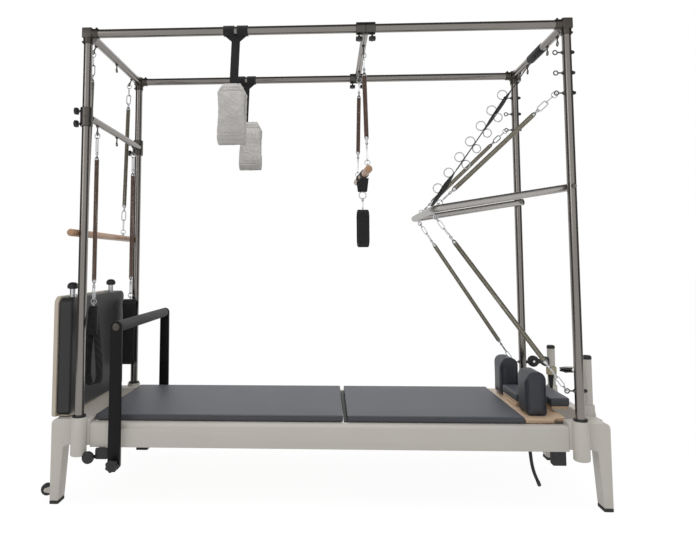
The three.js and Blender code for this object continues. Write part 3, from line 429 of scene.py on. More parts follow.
# Feet and transport wheels. Moulded dark rubber caps under the legs, and nylon-hubbed rubber wheels that only
# touch the floor when the head end is lifted.
foot_rubber = worked_surface("moulded grey rubber", "3b3b3c", "2c2c2d", 30, 1.5, 0.08, 0.82)
cap_outline = rounded_box(1135.5, 277.5, 1175.5, 343.5, 7)
table_ends = (("foot", -1), ("head", 1))
table_sides = (("front", -1), ("rear", 1))
for end, toward_x in table_ends:
    for side, toward_y in table_sides:
        cap = slab(cap_outline, 13.6, 2.5)
        set_piece(f"foot_cap_{end}_{side}", mirrored(cap, toward_x, toward_y), foot_rubber, "frame",
                  [f"rubber_foot_{end}_{side}"])
        cap.free()
tyre = two_halves([(13, -11), (21, -11), (24, -9.5), (25, -6)])
hub = two_halves([(4.3, -11.5), (9, -11.5), (9, -8), (13.2, -8)])
for side, toward_y in table_sides:
    wheel_middle = (-wheel_x, toward_y * wheel_y, wheel_z)
    body = f"transport_wheel_{side}"
    set_piece(f"{body}_tyre", crosswise(turned(tyre, 40), wheel_middle), foot_rubber, body, [body])
    set_piece(f"{body}_hub", crosswise(turned(hub, 32), wheel_middle), moulded_black, body)

# Posts. 38 mm stainless tube, polished lengthways, standing in the castings through a black nylon collar.
def stainless(name, stretch):
    """Polished stainless tube with faint drawing lines that run along it."""
    return worked_surface(name, "8b8783", "7d7874", 400, 0.7, 0.008, 0.2, stretch, 0.05, Metallic=1.0)


steel_upright = stainless("stainless tube upright", (1, 1, 0.02))
steel_long = stainless("stainless tube lengthways", (0.02, 1, 1))
steel_across = stainless("stainless tube crossways", (1, 0.02, 1))
chrome = worked_surface("nickel chrome plating", "d2d3d5", "c4c5c7", 40, 2, 0.01, 0.14, spread=0.04,
                        Metallic=1.0)
dull_nickel = worked_surface("dull nickel plating", "73716e", "62605d", 40, 2, 0.01, 0.3, spread=0.04,
                             Metallic=1.0)
tube_bore, tube_radius = 17, 19
post_tube = [(tube_bore, 240), (tube_radius, 240), (tube_radius, 2021), (tube_bore, 2021), (tube_bore, 240)]
collar = [(19.1, 366.3), (27, 366.3), (28, 367.5), (28, 372), (26.5, 374.3), (19.1, 374.3), (19.1, 366.3)]
for end, toward_x in table_ends:
    for side, toward_y in table_sides:
        post, spot = f"{end}_post_{side}", (toward_x * post_x, toward_y * post_y, 0)
        tube, ring = (placed(turned(profile, 48), spot) for profile in (post_tube, collar))
        set_piece(f"{post}_tube", tube, steel_upright, "frame", [post])
        set_piece(f"{post}_collar", ring, moulded_black, "frame")

# Top rails. Stainless tubes of the same size. Each corner is a squared casting with three short sleeves,
# little thicker than the tubes, held by small screws that stand on the sleeves.
top_z = 2044
corner = Vector((post_x, post_y, top_z))
corner_steel = worked_surface("dark cast connector", "5a5651", "48443f", 90, 1.2, 0.03, 0.34, Metallic=1.0)
sleeve = [(0, 0), (22, 0), (22, 46.5), (21.2, 48), (19.2, 48), (0, 47)]
ways = ((-1, 0, 0), (0, 0, -1), (0, -1, 0))
cap_screw = [(0, 0), (5, 0), (5, 7), (4.3, 8), (2.6, 8), (2.6, 4), (0, 4)]
hub_parts = [placed(slab(rounded_box(-22.5, -22.5, 22.5, 22.5, 5), 45, 2.5), corner - Vector((0, 0, 22.5)))]
hub_parts += [placed(turned(sleeve, 40), corner, way, (0.3, 0.5, 0.4)) for way in ways]
screws = [placed(turned(cap_screw, 20), corner + Vector((-36, 0, 20))),
          placed(turned(cap_screw, 20), corner + Vector((20, 0, -36)), (1, 0, 0))]
one_hub, one_set = joined(*hub_parts), joined(*screws)
for end, toward_x in table_ends:
    for parts, name, material, slot in ((one_hub, "hubs", corner_steel, "steel"),
                                        (one_set, "cap_screws", moulded_black, "black_metal")):
        both = joined(mirrored(parts, toward_x, -1), mirrored(parts, toward_x, 1))
        set_piece(f"{end}_corner_{name}", both, material, "frame")
    cross_tube = turned(two_halves([(0, -335), (tube_radius, -335)]), 48)
    set_piece(f"top_rail_{end}_tube", crosswise(cross_tube, (toward_x * post_x, 0, top_z)), steel_across,
              "frame", [f"top_rail_{end}"])
for side, toward_y in table_sides:
    long_tube = turned(two_halves([(tube_bore, -1027), (tube_radius, -1027)]), 48)
    set_piece(f"top_rail_{side}_tube", placed(long_tube, (0, toward_y * post_y, top_z), (1, 0, 0)),
              steel_long, "frame", [f"top_rail_{side}"])


# Eyebolts. Nickel-plated eyes on the head posts, the two cross rails and the sliding bars, where springs hook
# on. The shank goes through the tube and is held by a washer and a nut, on the posts with a dome nut behind.
def torus(major, minor, segments=28, sides=10):
    """A ring in the x and y plane."""
    part = bmesh.new()
    bmesh.ops.create_circle(part, segments=sides, radius=minor,
                            matrix=Matrix.Translation((major, 0, 0)) @ Matrix.Rotation(math.pi / 2, 4, "X"))
    bmesh.ops.spin(part, geom=part.verts[:] + part.edges[:], cent=(0, 0, 0), axis=(0, 0, 1),
                   angle=2 * math.pi, steps=segments, use_merge=True)
    bmesh.ops.remove_doubles(part, verts=part.verts, dist=1e-3)
    bmesh.ops.recalc_face_normals(part, faces=part.faces)
    return part


def eyebolt(base, way, hole, tube=tube_radius, reach=50):
    """An eyebolt through a tube whose middle is at base. Its eye's own axis is hole."""
    shank = turned([(0, tube - 2), (3.4, tube - 2), (3.4, reach - 8), (0, reach - 8)], 12)
    washer = turned([(0, tube - 1.5), (8.5, tube - 1.5), (8.5, tube + 1), (0, tube + 1)], 20)
    nut = [(0, 1), (6, 1), (6.6, 2), (6.6, 5), (6, 6), (0, 6)]
    nut = turned([(radius, tube + height) for radius, height in nut], 6)
    eye = crosswise(torus(9, 2.8), (0, 0, reach))
    return placed(joined(shank, washer, nut, eye), base, way, hole)


def dome_nut(base, way):
    """The dome nut and washer on a post behind an eyebolt. Heights are from the tube's wall."""
    dome = [(0, -1), (9.5, -1), (9.5, 2), (7.5, 2), (7.5, 8), (6, 11), (3.5, 13), (0, 13.5)]
    return placed(turned([(radius, tube_radius + height) for radius, height in dome], 24), base, -Vector(way))


axis_x, axis_y, axis_z = Vector((1, 0, 0)), Vector((0, 1, 0)), Vector((0, 0, 1))
lower_eye_z = 487
upper_eyes_z = (1742, 1830, 1920)
for side, toward_y in table_sides:
    spots = [(post_x, toward_y * post_y, z) for z in (lower_eye_z, *upper_eyes_z)]
    eyes = [eyebolt(spot, -axis_x, axis_y) for spot in spots]
    set_piece(f"head_post_{side}_eyebolts", joined(*eyes), dull_nickel, "frame")
    nuts = [dome_nut(spot, -axis_x) for spot in spots]
    set_piece(f"head_post_{side}_nuts", joined(*nuts), moulded_black, "frame")
roll_down_way = Vector((20, 0, -46)).normalized()
hanger_y = 245
foot_rail_eyes = [eyebolt((-post_x, y, top_z), (-way.x, way.y, way.z), axis_x)
                  for y, way in ((-hanger_y, roll_down_way), (0, -axis_z), (hanger_y, roll_down_way))]
set_piece("top_rail_foot_eyebolts", joined(*foot_rail_eyes), dull_nickel, "frame")
head_rail_eyes = [eyebolt((post_x, y, top_z), -axis_z, axis_x) for y in (-254, -135, 135, 254)]
set_piece("top_rail_head_eyebolts", joined(*head_rail_eyes), dull_nickel, "frame")

# Spring bar. A black steel bar under the mat, with pegs for the carriage springs. Its brackets are screwed
# below the rails, where they show.
black_coat = worked_surface("black powder-coated steel", "121213", "0c0c0d", 200, 1.4, 0.06, 0.55,
                            spread=0.06, **{"Specular IOR Level": 0.2})
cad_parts["spring_bar"].data.materials[0] = black_coat


# Springs. Close-wound wire on a swaged plug at both ends, each with a swivel, a snap hook and a ring that is
# hooked in an eye. The leg springs and the trapeze's are browned, the others oiled grey.
def wound(coil, wire, length, sides=5, steps=12):
    """Close-wound wire round +Z, coil its middle radius and wire its own."""
    pitch = 2.04 * wire
    winding = bmesh.new()
    bmesh.ops.create_circle(winding, segments=sides, radius=wire,
                            matrix=Matrix.Translation((coil, 0, 0)) @ Matrix.Rotation(math.pi / 2, 4, "X"))
    bmesh.ops.spin(winding, geom=winding.verts[:] + winding.edges[:], cent=(0, 0, 0), axis=(0, 0, 1),
                   dvec=(0, 0, pitch / steps), angle=2 * math.pi, steps=steps)
    one_turn = bpy.data.meshes.new("winding")
    winding.to_mesh(one_turn)
    winding.free()
    coiled = bmesh.new()
    for _ in range(round(length / pitch)):
        coiled.from_mesh(one_turn)
        one_turn.transform(Matrix.Translation((0, 0, pitch)))
    bpy.data.meshes.remove(one_turn)
    bmesh.ops.remove_doubles(coiled, verts=coiled.verts, dist=1e-3)
    bmesh.ops.holes_fill(coiled, edges=[e for e in coiled.edges if e.is_boundary], sides=0)
    bmesh.ops.recalc_face_normals(coiled, faces=coiled.faces)
    return coiled


def long_link(half_width, wire, length):
    """A closed oval of wire in the x and y plane, with its lower round end about the origin."""
    link = torus(half_width, wire, 24, 8)
    bmesh.ops.translate(link, vec=(0, length, 0), verts=[v for v in link.verts if v.co.y > 0.1])
    return link


def hook_end(length, coil):
    """What joins an eye at the origin to the coil that starts at length: ring, link, snap hook and swivel."""
    parts = [crosswise(torus(12, 2), (0, 0, 12))]
    free = length - 52
    has_link = free > 78
    snap = 50 if has_link else free + 2
    if has_link:
        parts.append(placed(long_link(7.5, 2, free - snap - 8), (0, 0, 28), (1, 0, 0), (0, 0, 1)))
    snap_start = length - 30 - snap
    facing = (0, 1, 0) if has_link else (1, 0, 0)
    parts.append(placed(long_link(10.5, 3, snap - 21), (0, 0, snap_start + 10.5), facing, (0, 0, 1)))
    parts.append(turned([(0, length - 33), (5.5, length - 33), (6.5, length - 31), (6.5, length - 22),
                         (4.2, length - 20), (4.2, length - 15), (7, length - 12), (coil, length - 3),
                         (coil, length + 3), (0, length + 3)], 20))
    return joined(*parts)


def spring_wire(name, light, dark):
    """Drawn spring steel, half bright under its film of oil."""
    return worked_surface(name, light, dark, 30, 0.8, 0.02, 0.36, spread=0.08, Metallic=0.7)


bright_wire = spring_wire("oiled grey spring wire", "9f9a8b", "837e70")
brown_wire = spring_wire("browned spring wire", "957f75", "756258")


def hung_spring(name, start, end, coil_start, coil_end, radius, wire_finish, body=None, bend=None,
                across=(0, 1, 0)):
    """A whole spring from one eye's middle to the other's. Places along it are distances from start."""
    wire = 1.6
    start, end = Vector(start), Vector(end)
    length = (end - start).length
    coil = placed(wound(radius - wire, wire, coil_end - coil_start), (0, 0, coil_start))
    set_piece(f"{name}_coil", placed(coil, start, end - start, across), wire_finish, body, [name], bend)
    far = placed(hook_end(length - coil_end, radius - 0.5), (0, 0, length), (0, 0, -1))
    fittings = joined(hook_end(coil_start, radius - 0.5), far)
    set_piece(f"{name}_hooks", placed(fittings, start, end - start, across), chrome, body, (), bend)


# Jump board. A beige laminated panel stands on the foot beam on two pins and carries a padded vinyl face.
# Two pegs with black caps stick up from it.
def vinyl(name, light, dark, rough, side_shade_level=1.0):
    """Upholstery vinyl on foam: a leather grain of 2 mm pebbles, drawn at 4 mm so that it shows, low sheen.
    Upright faces are darkened against the top by the share that the last argument gives: painted shade of the
    sides, where the light from above falls less."""
    material, tree, place = start_material(name)
    pebbles = add_node(tree, "TexVoronoi", {"feature": "DISTANCE_TO_EDGE"},
                       {"Vector": place, "Scale": 1000 / 4})
    creases = add_node(tree, "MapRange", inputs={"Value": pebbles, "From Max": 0.25})
    cloud = add_node(tree, "TexNoise", inputs={"Vector": place, "Scale": 1000 / 180, "Detail": 4})
    tone = add_node(tree, "MixRGB", inputs={"Fac": cloud, "Color1": linear(dark), "Color2": linear(light)})
    # The grain's creases are darkened by 12 %: painted shade in the creases.
    shade = add_node(tree, "MixRGB", {"blend_type": "MULTIPLY"}, {
        "Fac": 0.12, "Color1": tone, "Color2": creases})
    # Upright faces are darkened against the top: painted shade of the side panels, where the light from above
    # falls less.
    facing = add_node(tree, "SeparateXYZ", inputs={
        "Vector": add_node(tree, "NewGeometry").outputs["Normal"]}).outputs["Z"]
    panel = add_node(tree, "MapRange", inputs={
        "Value": facing, "From Min": 0.3, "From Max": 0.7, "To Min": side_shade_level, "To Max": 1.0})
    shade = add_node(tree, "MixRGB", {"blend_type": "MULTIPLY"}, {
        "Fac": 1.0, "Color1": shade, "Color2": panel})
    roughness = add_node(tree, "MapRange", inputs={
        "Value": cloud, "To Min": rough - 0.06, "To Max": rough + 0.06})
    bump = add_node(tree, "Bump", inputs={"Height": creases, "Distance": 0.0001, "Strength": 0.6})
    end_material(tree, {"Base Color": shade, "Roughness": roughness, "Normal": bump,
                        "Specular IOR Level": 0.45})
    return material


# The grey vinyl's upright faces get painted shade, at 0.72 of the top's colour.
grey_vinyl = vinyl("grey upholstery vinyl", "5c5e65", "4f5157", 0.5, 0.72)
dark_vinyl = vinyl("charcoal upholstery vinyl", "383b43", "2d2f36", 0.46)
board_vinyl = vinyl("charcoal board vinyl", "2f2f30", "262627", 0.5)
beige_laminate = worked_surface("beige laminated board", "c9beae", "bdb2a2", 120, 1.8, 0.03, 0.42,
                                (1, 1, 0.1))


def gridded(mesh, step):
    """Cuts a mesh into a net of cells about step metres wide, as cloth needs, without moving its surface."""
    net = bmesh.new()
    net.from_mesh(mesh)
    for axis in range(3):
        places = [v.co[axis] for v in net.verts]
        low, high = min(places), max(places)
        cells = max(1, round((high - low) / step))
        for i in range(1, cells):
            spot, way = Vector(), Vector()
            spot[axis], way[axis] = low + (high - low) * i / cells, 1
            bmesh.ops.bisect_plane(net, geom=net.verts[:] + net.edges[:] + net.faces[:], dist=step / 12,
                                   plane_co=spot, plane_no=way)
    net.to_mesh(mesh)
    net.free()


last_moment = 20


def stuffed(piece, step, cap, flat_axis=2, flat_at=None):
    """Swells an upholstered shape as its foam does, each point moving cap metres at most, and keeps it flat
    where it rests: no point comes below flat_at along flat_axis."""
    gridded(piece.data, step)
    rest = [v.co.copy() for v in piece.data.vertices]
    cloth = piece.modifiers.new("cloth", "CLOTH")
    cloth.settings.use_pressure = True
    cloth.settings.uniform_pressure_force = 4
    cloth.settings.effector_weights.gravity = 0
    cloth.settings.quality = 4
    for moment in range(1, last_moment + 1):
        scene.frame_set(moment)
        bpy.context.view_layer.update()
    swollen = piece.evaluated_get(bpy.context.evaluated_depsgraph_get()).data
    taken = [v.co.copy() for v in swollen.vertices]
    piece.modifiers.clear()
    scene.frame_set(1)
    for vertex, was, now in zip(piece.data.vertices, rest, taken):
        move = now - was
        vertex.co = was + move * min(1, cap / max(move.length, 1e-9))
        if flat_at is not None and vertex.co[flat_axis] < flat_at:
            vertex.co[flat_axis] = flat_at
    piece.data.set_sharp_from_angle(angle=math.pi)
    return piece


board_back, board_front, board_half = -1182, -1102, 330
panel_part = along_x(rounded_box(-board_half, 356.5, board_half, 875, 14, 36), board_back, board_back + 18, 3)
ledge = along_x(rounded_box(-310, 356.5, 310, 364.2, 2), board_back + 12, board_front - 14)
pin = [(0, 326), (4, 326), (6, 329), (6, 360), (0, 360)]
pins = both_sides(placed(turned(pin, 20), (-1140, 225, 0)))
set_piece("jump_board_board", joined(panel_part, ledge), beige_laminate, "jump_board",
          ["jump_board_panel"])
set_piece("jump_board_pins", pins, chrome, "jump_board")
face_outline = rounded_box(2 - board_half, 366, board_half - 2, 873, 14, 34)
board_pad = set_piece("jump_board_padding", along_x(face_outline, board_back + 18.4, board_front - 2, 9, 4),
                      board_vinyl, "jump_board", ["jump_board_pad"])
stuffed(board_pad, 0.016, 0.004, 0, in_frame(board_back + 18.3, 0, 0).x)
peg_spots = [((board_back + 18 + board_front) / 2, y, 0) for y in (-258, 200)]
peg_stem = [(0, 868), (15, 868), (15, 876), (12.5, 878), (12.5, 908), (0, 908)]
peg_cap = [(0, 904), (17, 905), (22, 908), (24, 914), (23, 922), (19, 929), (11, 934), (0, 935)]
for label, profile, segments, material, slot in (("stems", peg_stem, 28, chrome, "steel"),
                                                 ("caps", peg_cap, 32, moulded_black, "black_plastic")):
    pegs = joined(*(placed(turned(profile, segments), spot) for spot in peg_spots))
    set_piece(f"jump_board_peg_{label}", pegs, material, "jump_board")

# Foot bar. Two flat black steel legs turn on bolts outside the rails. A steel tube joins them at the top,
# inside a slipped-on foam grip, and a clamp knob sits on each pivot bolt.
foot_bar_x, pivot_z, grip_z = -889, 178, 748
leg_outline = arc(0, 0, 27, 194, 346, 14) + arc(0, grip_z - pivot_z, 24, 0, 180, 18)
bar_leg = placed(along_y(leg_outline, 358, 378, 4), (foot_bar_x, 0, pivot_z))
set_piece("foot_bar_legs", both_sides(bar_leg), black_coat, "foot_bar", ["foot_bar_frame"])
grip_middle = (foot_bar_x, 0, grip_z)
grip_tube = turned(two_halves([(0, -380), (13, -380), (15.5, -379), (16, -377)]), 32)
set_piece("foot_bar_tube", crosswise(grip_tube, grip_middle), corner_steel, "foot_bar")
foam = worked_surface("grey cell foam", "535152", "434142", 60, 1.5, 0.25, 0.85, spread=0.05)
grip_foam = turned(two_halves([(16.3, -350), (22, -350), (24, -347), (24.2, 0)]), 40)
grip = set_piece("foot_bar_foam", crosswise(grip_foam, grip_middle), foam, "foot_bar",
                 ["foot_bar_grip"])


def lobed(radius, depth, lobes):
    """The outline of a hand knob, with eight points for each lobe."""
    steps = 8
    outline = []
    for i in range(lobes * steps):
        angle = 2 * math.pi * i / (lobes * steps)
        reach = radius + depth * math.cos(lobes * angle)
        outline.append((reach * math.cos(angle), reach * math.sin(angle)))
    return outline


for side, toward_y in table_sides:
    hand_knob = placed(slab(lobed(25, 2, 7), 17, 3), (0, 0, 4))
    knob_neck = turned([(8.2, 0.2), (15, 0.2), (15, 5), (8.2, 5), (8.2, 0.2)], 24)
    knob_cap = turned([(0, 19), (9, 19), (8, 22), (0, 22.5)], 24)
    knob = placed(joined(hand_knob, knob_neck, knob_cap), (foot_bar_x, toward_y * 382.3, pivot_z),
                  (0, toward_y, 0), (0, 0, 1))
    body = f"foot_bar_knob_{side}"
    set_piece(f"{body}_grip", knob, moulded_black, body, [body])

# Under the rails. By each foot bar leg a moulded black lever plate with a clamp knob, and near the head end a
# dark rubber stop.
lever_plate = along_y(rounded_box(-976, 192, -922, 238, 6), 346.2, 355.5, 1)
lever_knob = [(0, 0), (9, 0), (9, 5.5), (21, 6.5), (25, 10.5), (26, 16.5), (25, 22.5), (20, 26.5), (0, 27.5)]
lever_knob = crosswise(turned(lever_knob, 32), (-1003, 346.5, 201))
lever_neck = along_y(rounded_box(-1010, 194, -970, 208, 3), 347, 353, 1)
levers = both_sides(joined(lever_plate, lever_knob, lever_neck))
set_piece("rail_levers", levers, moulded_black, "frame")
rubber_stop = along_y(rounded_box(937, 181, 992, 238.6, 4), 308, 340, 2)
set_piece("rail_stops", both_sides(rubber_stop), foot_rubber, "frame")

# Bed boards. Lacquered birch plywood under the filler pad, the carriage's pad and the headrest: pale
# rotary-cut faces, and at the sawn edges the thin plies.
birch, birch_tree, birch_place = start_material("lacquered birch plywood")
along_grain = add_node(birch_tree, "Mapping", inputs={"Vector": birch_place, "Scale": (0.06, 1, 1)})
figure = add_node(birch_tree, "TexNoise", inputs={
    "Vector": along_grain, "Scale": 1000 / 9, "Detail": 4, "Distortion": 0.6})
plies = add_node(birch_tree, "TexWave", {"bands_direction": "Z"}, {
    "Vector": birch_place, "Scale": 1000 / 2.8 / wave_bands, "Distortion": 0.4})
facing_up = add_node(birch_tree, "SeparateXYZ", inputs={
    "Vector": add_node(birch_tree, "NewGeometry").outputs["Normal"]}).outputs["Z"]
is_face = add_node(birch_tree, "Math", {"operation": "GREATER_THAN"}, {
    0: add_node(birch_tree, "Math", {"operation": "ABSOLUTE"}, {0: facing_up}), 1: 0.6})
face_tone = add_node(birch_tree, "MixRGB", inputs={
    "Fac": figure, "Color1": linear("c3a486"), "Color2": linear("dcc4a8")})
edge_tone = add_node(birch_tree, "MixRGB", inputs={
    "Fac": plies.outputs["Fac"], "Color1": linear("b2906f"), "Color2": linear("d9c1a6")})
birch_tone = add_node(birch_tree, "MixRGB", inputs={"Fac": is_face, "Color1": edge_tone, "Color2": face_tone})
birch_bump = add_node(birch_tree, "Bump", inputs={"Height": figure, "Distance": 0.00006})
end_material(birch_tree, {"Base Color": birch_tone, "Roughness": 0.42, "Normal": birch_bump,
                          "Coat Weight": 0.25, "Coat Roughness": 0.25})
for node, body in (("filler_board", "filler_mat"), ("carriage_deck", "carriage"),
                   ("headrest_board", "headrest")):
    set_piece(f"{node}_plywood", copied_node(node, 0.8), birch, body, [node])

# Bed pads. Firm foam under grey vinyl, drawn tight round the edge and sewn along the top edge: one on the
# fixed filler board, one on the carriage.
def swept(path, section, across, closed=False):
    """A section drawn in its own x and y, carried along a path. Its y axis leans towards across, which is one
    way for the whole path or a list with one for each spot."""
    path = [Vector(spot) for spot in path]
    leans = across if isinstance(across, list) else [across] * len(path)
    places = []
    for i, spot in enumerate(path):
        before = path[i - 1] if i or closed else spot
        after = path[(i + 1) % len(path)] if i < len(path) - 1 or closed else spot
        places.append(placing(spot, after - before, leans[i]))
    if closed:
        places.append(places[0])
    part = bmesh.new()
    first = face = part.faces.new([part.verts.new(places[0] @ Vector((x, y, 0))) for x, y in section])
    for here, there in zip(places, places[1:]):
        extruded = bmesh.ops.extrude_face_region(part, geom=[face])["geom"]
        face = next(g for g in extruded if isinstance(g, bmesh.types.BMFace))
        bmesh.ops.transform(part, matrix=there @ here.inverted(), verts=face.verts)
    if closed:
        bmesh.ops.delete(part, geom=[first, face], context="FACES_ONLY")
        bmesh.ops.remove_doubles(part, verts=part.verts, dist=0.05)
    bmesh.ops.recalc_face_normals(part, faces=part.faces)
    return part


def welt(name, path, radius, across, material, body):
    """A sewn cord along a closed path on an upholstered piece."""
    cord = swept(path, arc(0, 0, radius, 0, 300, 5), across, closed=True)
    set_piece(name, cord, material, body)


pad_half, pad_bottom, pad_top = 310, 340, 368


def bed_pad(name, start, end, body, node):
    """A pad of the bed's width from start to end, with its welt, made smaller by the room it swells into."""
    room = 1.5
    section = rounded_box(room - pad_half, pad_bottom, pad_half - room, pad_top - 1, 6, 8)
    shape = along_x(section, start + room, end - room, 5)
    pad = set_piece(name, shape, grey_vinyl, body, [node])
    stuffed(pad, 0.02, 0.0022, 2, in_frame(0, 0, pad_bottom).z)
    edge = rounded_box(start + 4, 4 - pad_half, end - 4, pad_half - 4, 9)
    welt(f"{name}_seam", [(x, y, pad_top - 4.6) for x, y in edge], 1.5, axis_z, grey_vinyl, body)


bed_pad("filler_cushion", -1000, 78, "filler_mat", "filler_pad")
bed_pad("carriage_cushion", 92, 842, "carriage", "carriage_pad")

# Carriage. A folded aluminium chassis runs on rollers in the rail tracks, with four springs parked below it.
# A black strip under its foot end is painted shade: it darkens the gap between the filler pad and the
# carriage pad.
folded_aluminium = worked_surface("mill aluminium sheet", "b4b4b3", "9c9c9b", 150, 1, 0.02, 0.38,
                                  (0.05, 1, 1), Metallic=1.0)
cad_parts["carriage_chassis"].data.materials[0] = folded_aluminium
parked = [placed(wound(10.2, 1.8, 390, 4, 10), (190, y, 305.7), (1, 0, 0)) for y in (-165, -55, 55, 165)]
set_piece("carriage_springs", joined(*parked), bright_wire, "carriage")
set_piece("carriage_gap_shade_strip", along_x(rounded_box(-288, 322, 288, 338.6, 2), 79.6, 99.8, 1), moulded_black,
          "carriage")

# Shoulder rests and headrest. Foam blocks in charcoal vinyl with a welt round both faces, and a grey headrest
# pad that is narrow between the rests and wide beyond them.
rest_outline = rounded_box(871.5, 359, 953.5, 544, 12, 34)
for side, toward_y in table_sides:
    low, high = sorted((toward_y * 121.5, toward_y * 250.5))
    rest = set_piece(f"shoulder_rest_{side}_cushion", along_y(rest_outline, low, high, 8, 4), dark_vinyl,
                     "carriage", [f"shoulder_rest_{side}"])
    stuffed(rest, 0.011, 0.004, 2, in_frame(0, 0, 358.4).z)
    edge = rounded_box(875, 362, 950, 540, 10, 30)
    for face, y in (("outer", high - 3), ("inner", low + 3)):
        welt(f"shoulder_rest_{side}_welt_{face}", [(x, y, z) for x, z in edge], 2, axis_y, dark_vinyl,
             "carriage")


def headrest_outline(inset):
    """The headrest's outline seen from above, drawn in by inset."""
    narrow, wide, start, step, end = 108 - inset, 190 - inset, 864 + inset, 992 + inset, 1084 - inset
    return ([(start, -narrow), (step, -narrow), (step, -wide)] + arc(end - 20, 20 - wide, 20, -90, 0)
            + arc(end - 20, wide - 20, 20, 0, 90) + [(step, wide), (step, narrow), (start, narrow)])


headrest_block = placed(slab(headrest_outline(2), 34.5, 7, 4), (0, 0, 384.6))
headrest = set_piece("headrest_cushion", headrest_block, grey_vinyl, "headrest", ["headrest_pad"])
stuffed(headrest, 0.014, 0.003, 2, in_frame(0, 0, 384.3).z)

# Pulley risers. White tubes with dark end caps slide in their sockets on the head beam. Each carries a fork
# with a grooved rope pulley, one level and one upright. The rear one also has a swivel housing, a plated
# cleat and a webbing tab.
pulley_reach = 90
cheek = [(-8, -10), *reversed(arc(-pulley_reach, 0, 10, 90, 270, 12)), (-8, 10)][::-1]
pulley_profile = two_halves([(4.4, -7), (26, -7), (28, -6), (28, -4.5), (22, 0)])
pulley_bolt = two_halves([(0, -14), (6, -14), (6.5, -12), (4, -12)])
for side, toward_y, height, top, lean in (("front", -1, 548, 604, 0), ("rear", 1, 515, 590, math.pi / 2)):
    stand = Vector((beam_x, toward_y * riser_y, 0))
    body = f"riser_{side}"
    tip = Matrix.Translation(stand + Vector((0, 0, height))) @ Matrix.Rotation(lean, 4, "X")
    fork = joined(slab(cheek, 3, 0.6), placed(slab(cheek, 3, 0.6), (0, 0, 21)))
    fork.transform(tip @ Matrix.Translation((0, 0, -12)))
    riser_tube = turned([(0, 300), (tube_radius, 300), (tube_radius, top - 8), (0, top - 8)], 40)
    riser_cap = [(0, -10), (19.6, -10), (20, -8), (20, -1), (18, 4), (15, 6), (0, 6)]
    riser_cap = placed(turned(riser_cap, 40), stand + Vector((0, 0, top)))
    fork_paint, fork_slot = (moulded_black, "black_plastic") if lean else (rail_paint, "painted_white")
    set_piece(f"{body}_tube", placed(riser_tube, stand), rail_paint, body, [body])
    set_piece(f"{body}_fork", fork, fork_paint, body)
    set_piece(f"{body}_cap", riser_cap, moulded_black if lean else foot_rubber, body)
    sheave, bolt = turned(pulley_profile, 40), turned(pulley_bolt, 20)
    for part in (sheave, bolt):
        part.transform(tip @ Matrix.Translation((-pulley_reach, 0, 0)))
    pulley = f"pulley_{side}"
    set_piece(f"{pulley}_sheave", sheave, moulded_black, pulley, [pulley])
    set_piece(f"{body}_bolt", bolt, chrome, body)
swivel = turned(two_halves([(0, -13), (20, -13), (23, -11), (24, -8)]), 32)
swivel.transform(Matrix.Translation((beam_x - 30, riser_y, 515)) @ Matrix.Rotation(math.pi / 2, 4, "X"))
set_piece("riser_rear_swivel", swivel, moulded_black, "riser_rear")
zinc = worked_surface("yellow zinc plating", "a39a80", "8f8770", 60, 1, 0.02, 0.4, Metallic=0.8)
set_piece("riser_rear_cleat", along_y(rounded_box(1112, 452, 1162, 492, 6), 178, 187.5, 1.5), zinc,
          "riser_rear")
rope_tab = along_y([(1131, 357), (1137, 357), (1148, 451), (1120, 451)], 181, 186, 1)
set_piece("riser_rear_tab", rope_tab, webbing, "riser_rear")


# Sliding bars. A steel tube between two clamp sleeves, each closed by two black hand knobs: one bar slides on
# the foot posts, the other on the long top rails.
clamp_steel = worked_surface("satin clamp steel", "63605c", "52504c", 80, 1.1, 0.03, 0.34, Metallic=1.0)
bar_radius = 16


def sliding_bar(name, sleeve, axis, outward, eye_places, origin):
    """A bar whose sleeve centre, relative to origin, is on the rear side. The front side mirrors it."""
    origin, sleeve, axis, outward = Vector(origin), Vector(sleeve), Vector(axis), Vector(outward)
    half = sleeve.y - 23
    tube = crosswise(turned(two_halves([(0, -half), (bar_radius, -half)]), 40), origin)
    set_piece(f"{name}_tube", tube, steel_across, name, [name])
    shell = two_halves([(19.4, -42), (25.5, -42), (27, -40.5), (27, -1.2), (26, 0)])
    side_parts = [placed(turned(shell, 40), sleeve, axis, outward)]
    knob_parts = []
    for offset in (-28.5, 28.5):
        place = (sleeve + axis * offset + outward * 27, outward, axis)
        side_parts.append(placed(turned([(0, -4), (5, -4), (5, 10), (0, 10)], 16), *place))
        knob_neck = turned([(0, 9), (7, 9), (8, 12), (0, 12)], 20)
        head = joined(placed(slab(lobed(15, 1.4, 6), 16, 2.5), (0, 0, 11)), knob_neck)
        knob_parts.append(placed(head, *place))
    for label, parts, material, slot in (("clamps", side_parts, clamp_steel, "steel"),
                                         ("knobs", knob_parts, moulded_black, "black_plastic")):
        set_piece(f"{name}_{label}", placed(both_sides(joined(*parts)), origin), material, name)
    eyes = [eyebolt(origin + axis_y * y, -axis_z, axis_x, bar_radius) for y in eye_places]
    set_piece(f"{name}_eyebolts", joined(*eyes), dull_nickel, name)


crossbar_x, crossbar_z = -1042, 1665
sliding_bar("foot_crossbar", (-8, post_y, 0), axis_z, -axis_x, (-hanger_y, 0, hanger_y),
            (crossbar_x, 0, crossbar_z))
trapeze_x, trapeze_y = 187, 185
sliding_bar("trapeze_slider", (0, post_y, 0), axis_x, -axis_z, (-trapeze_y, trapeze_y), (trapeze_x, 0, top_z))

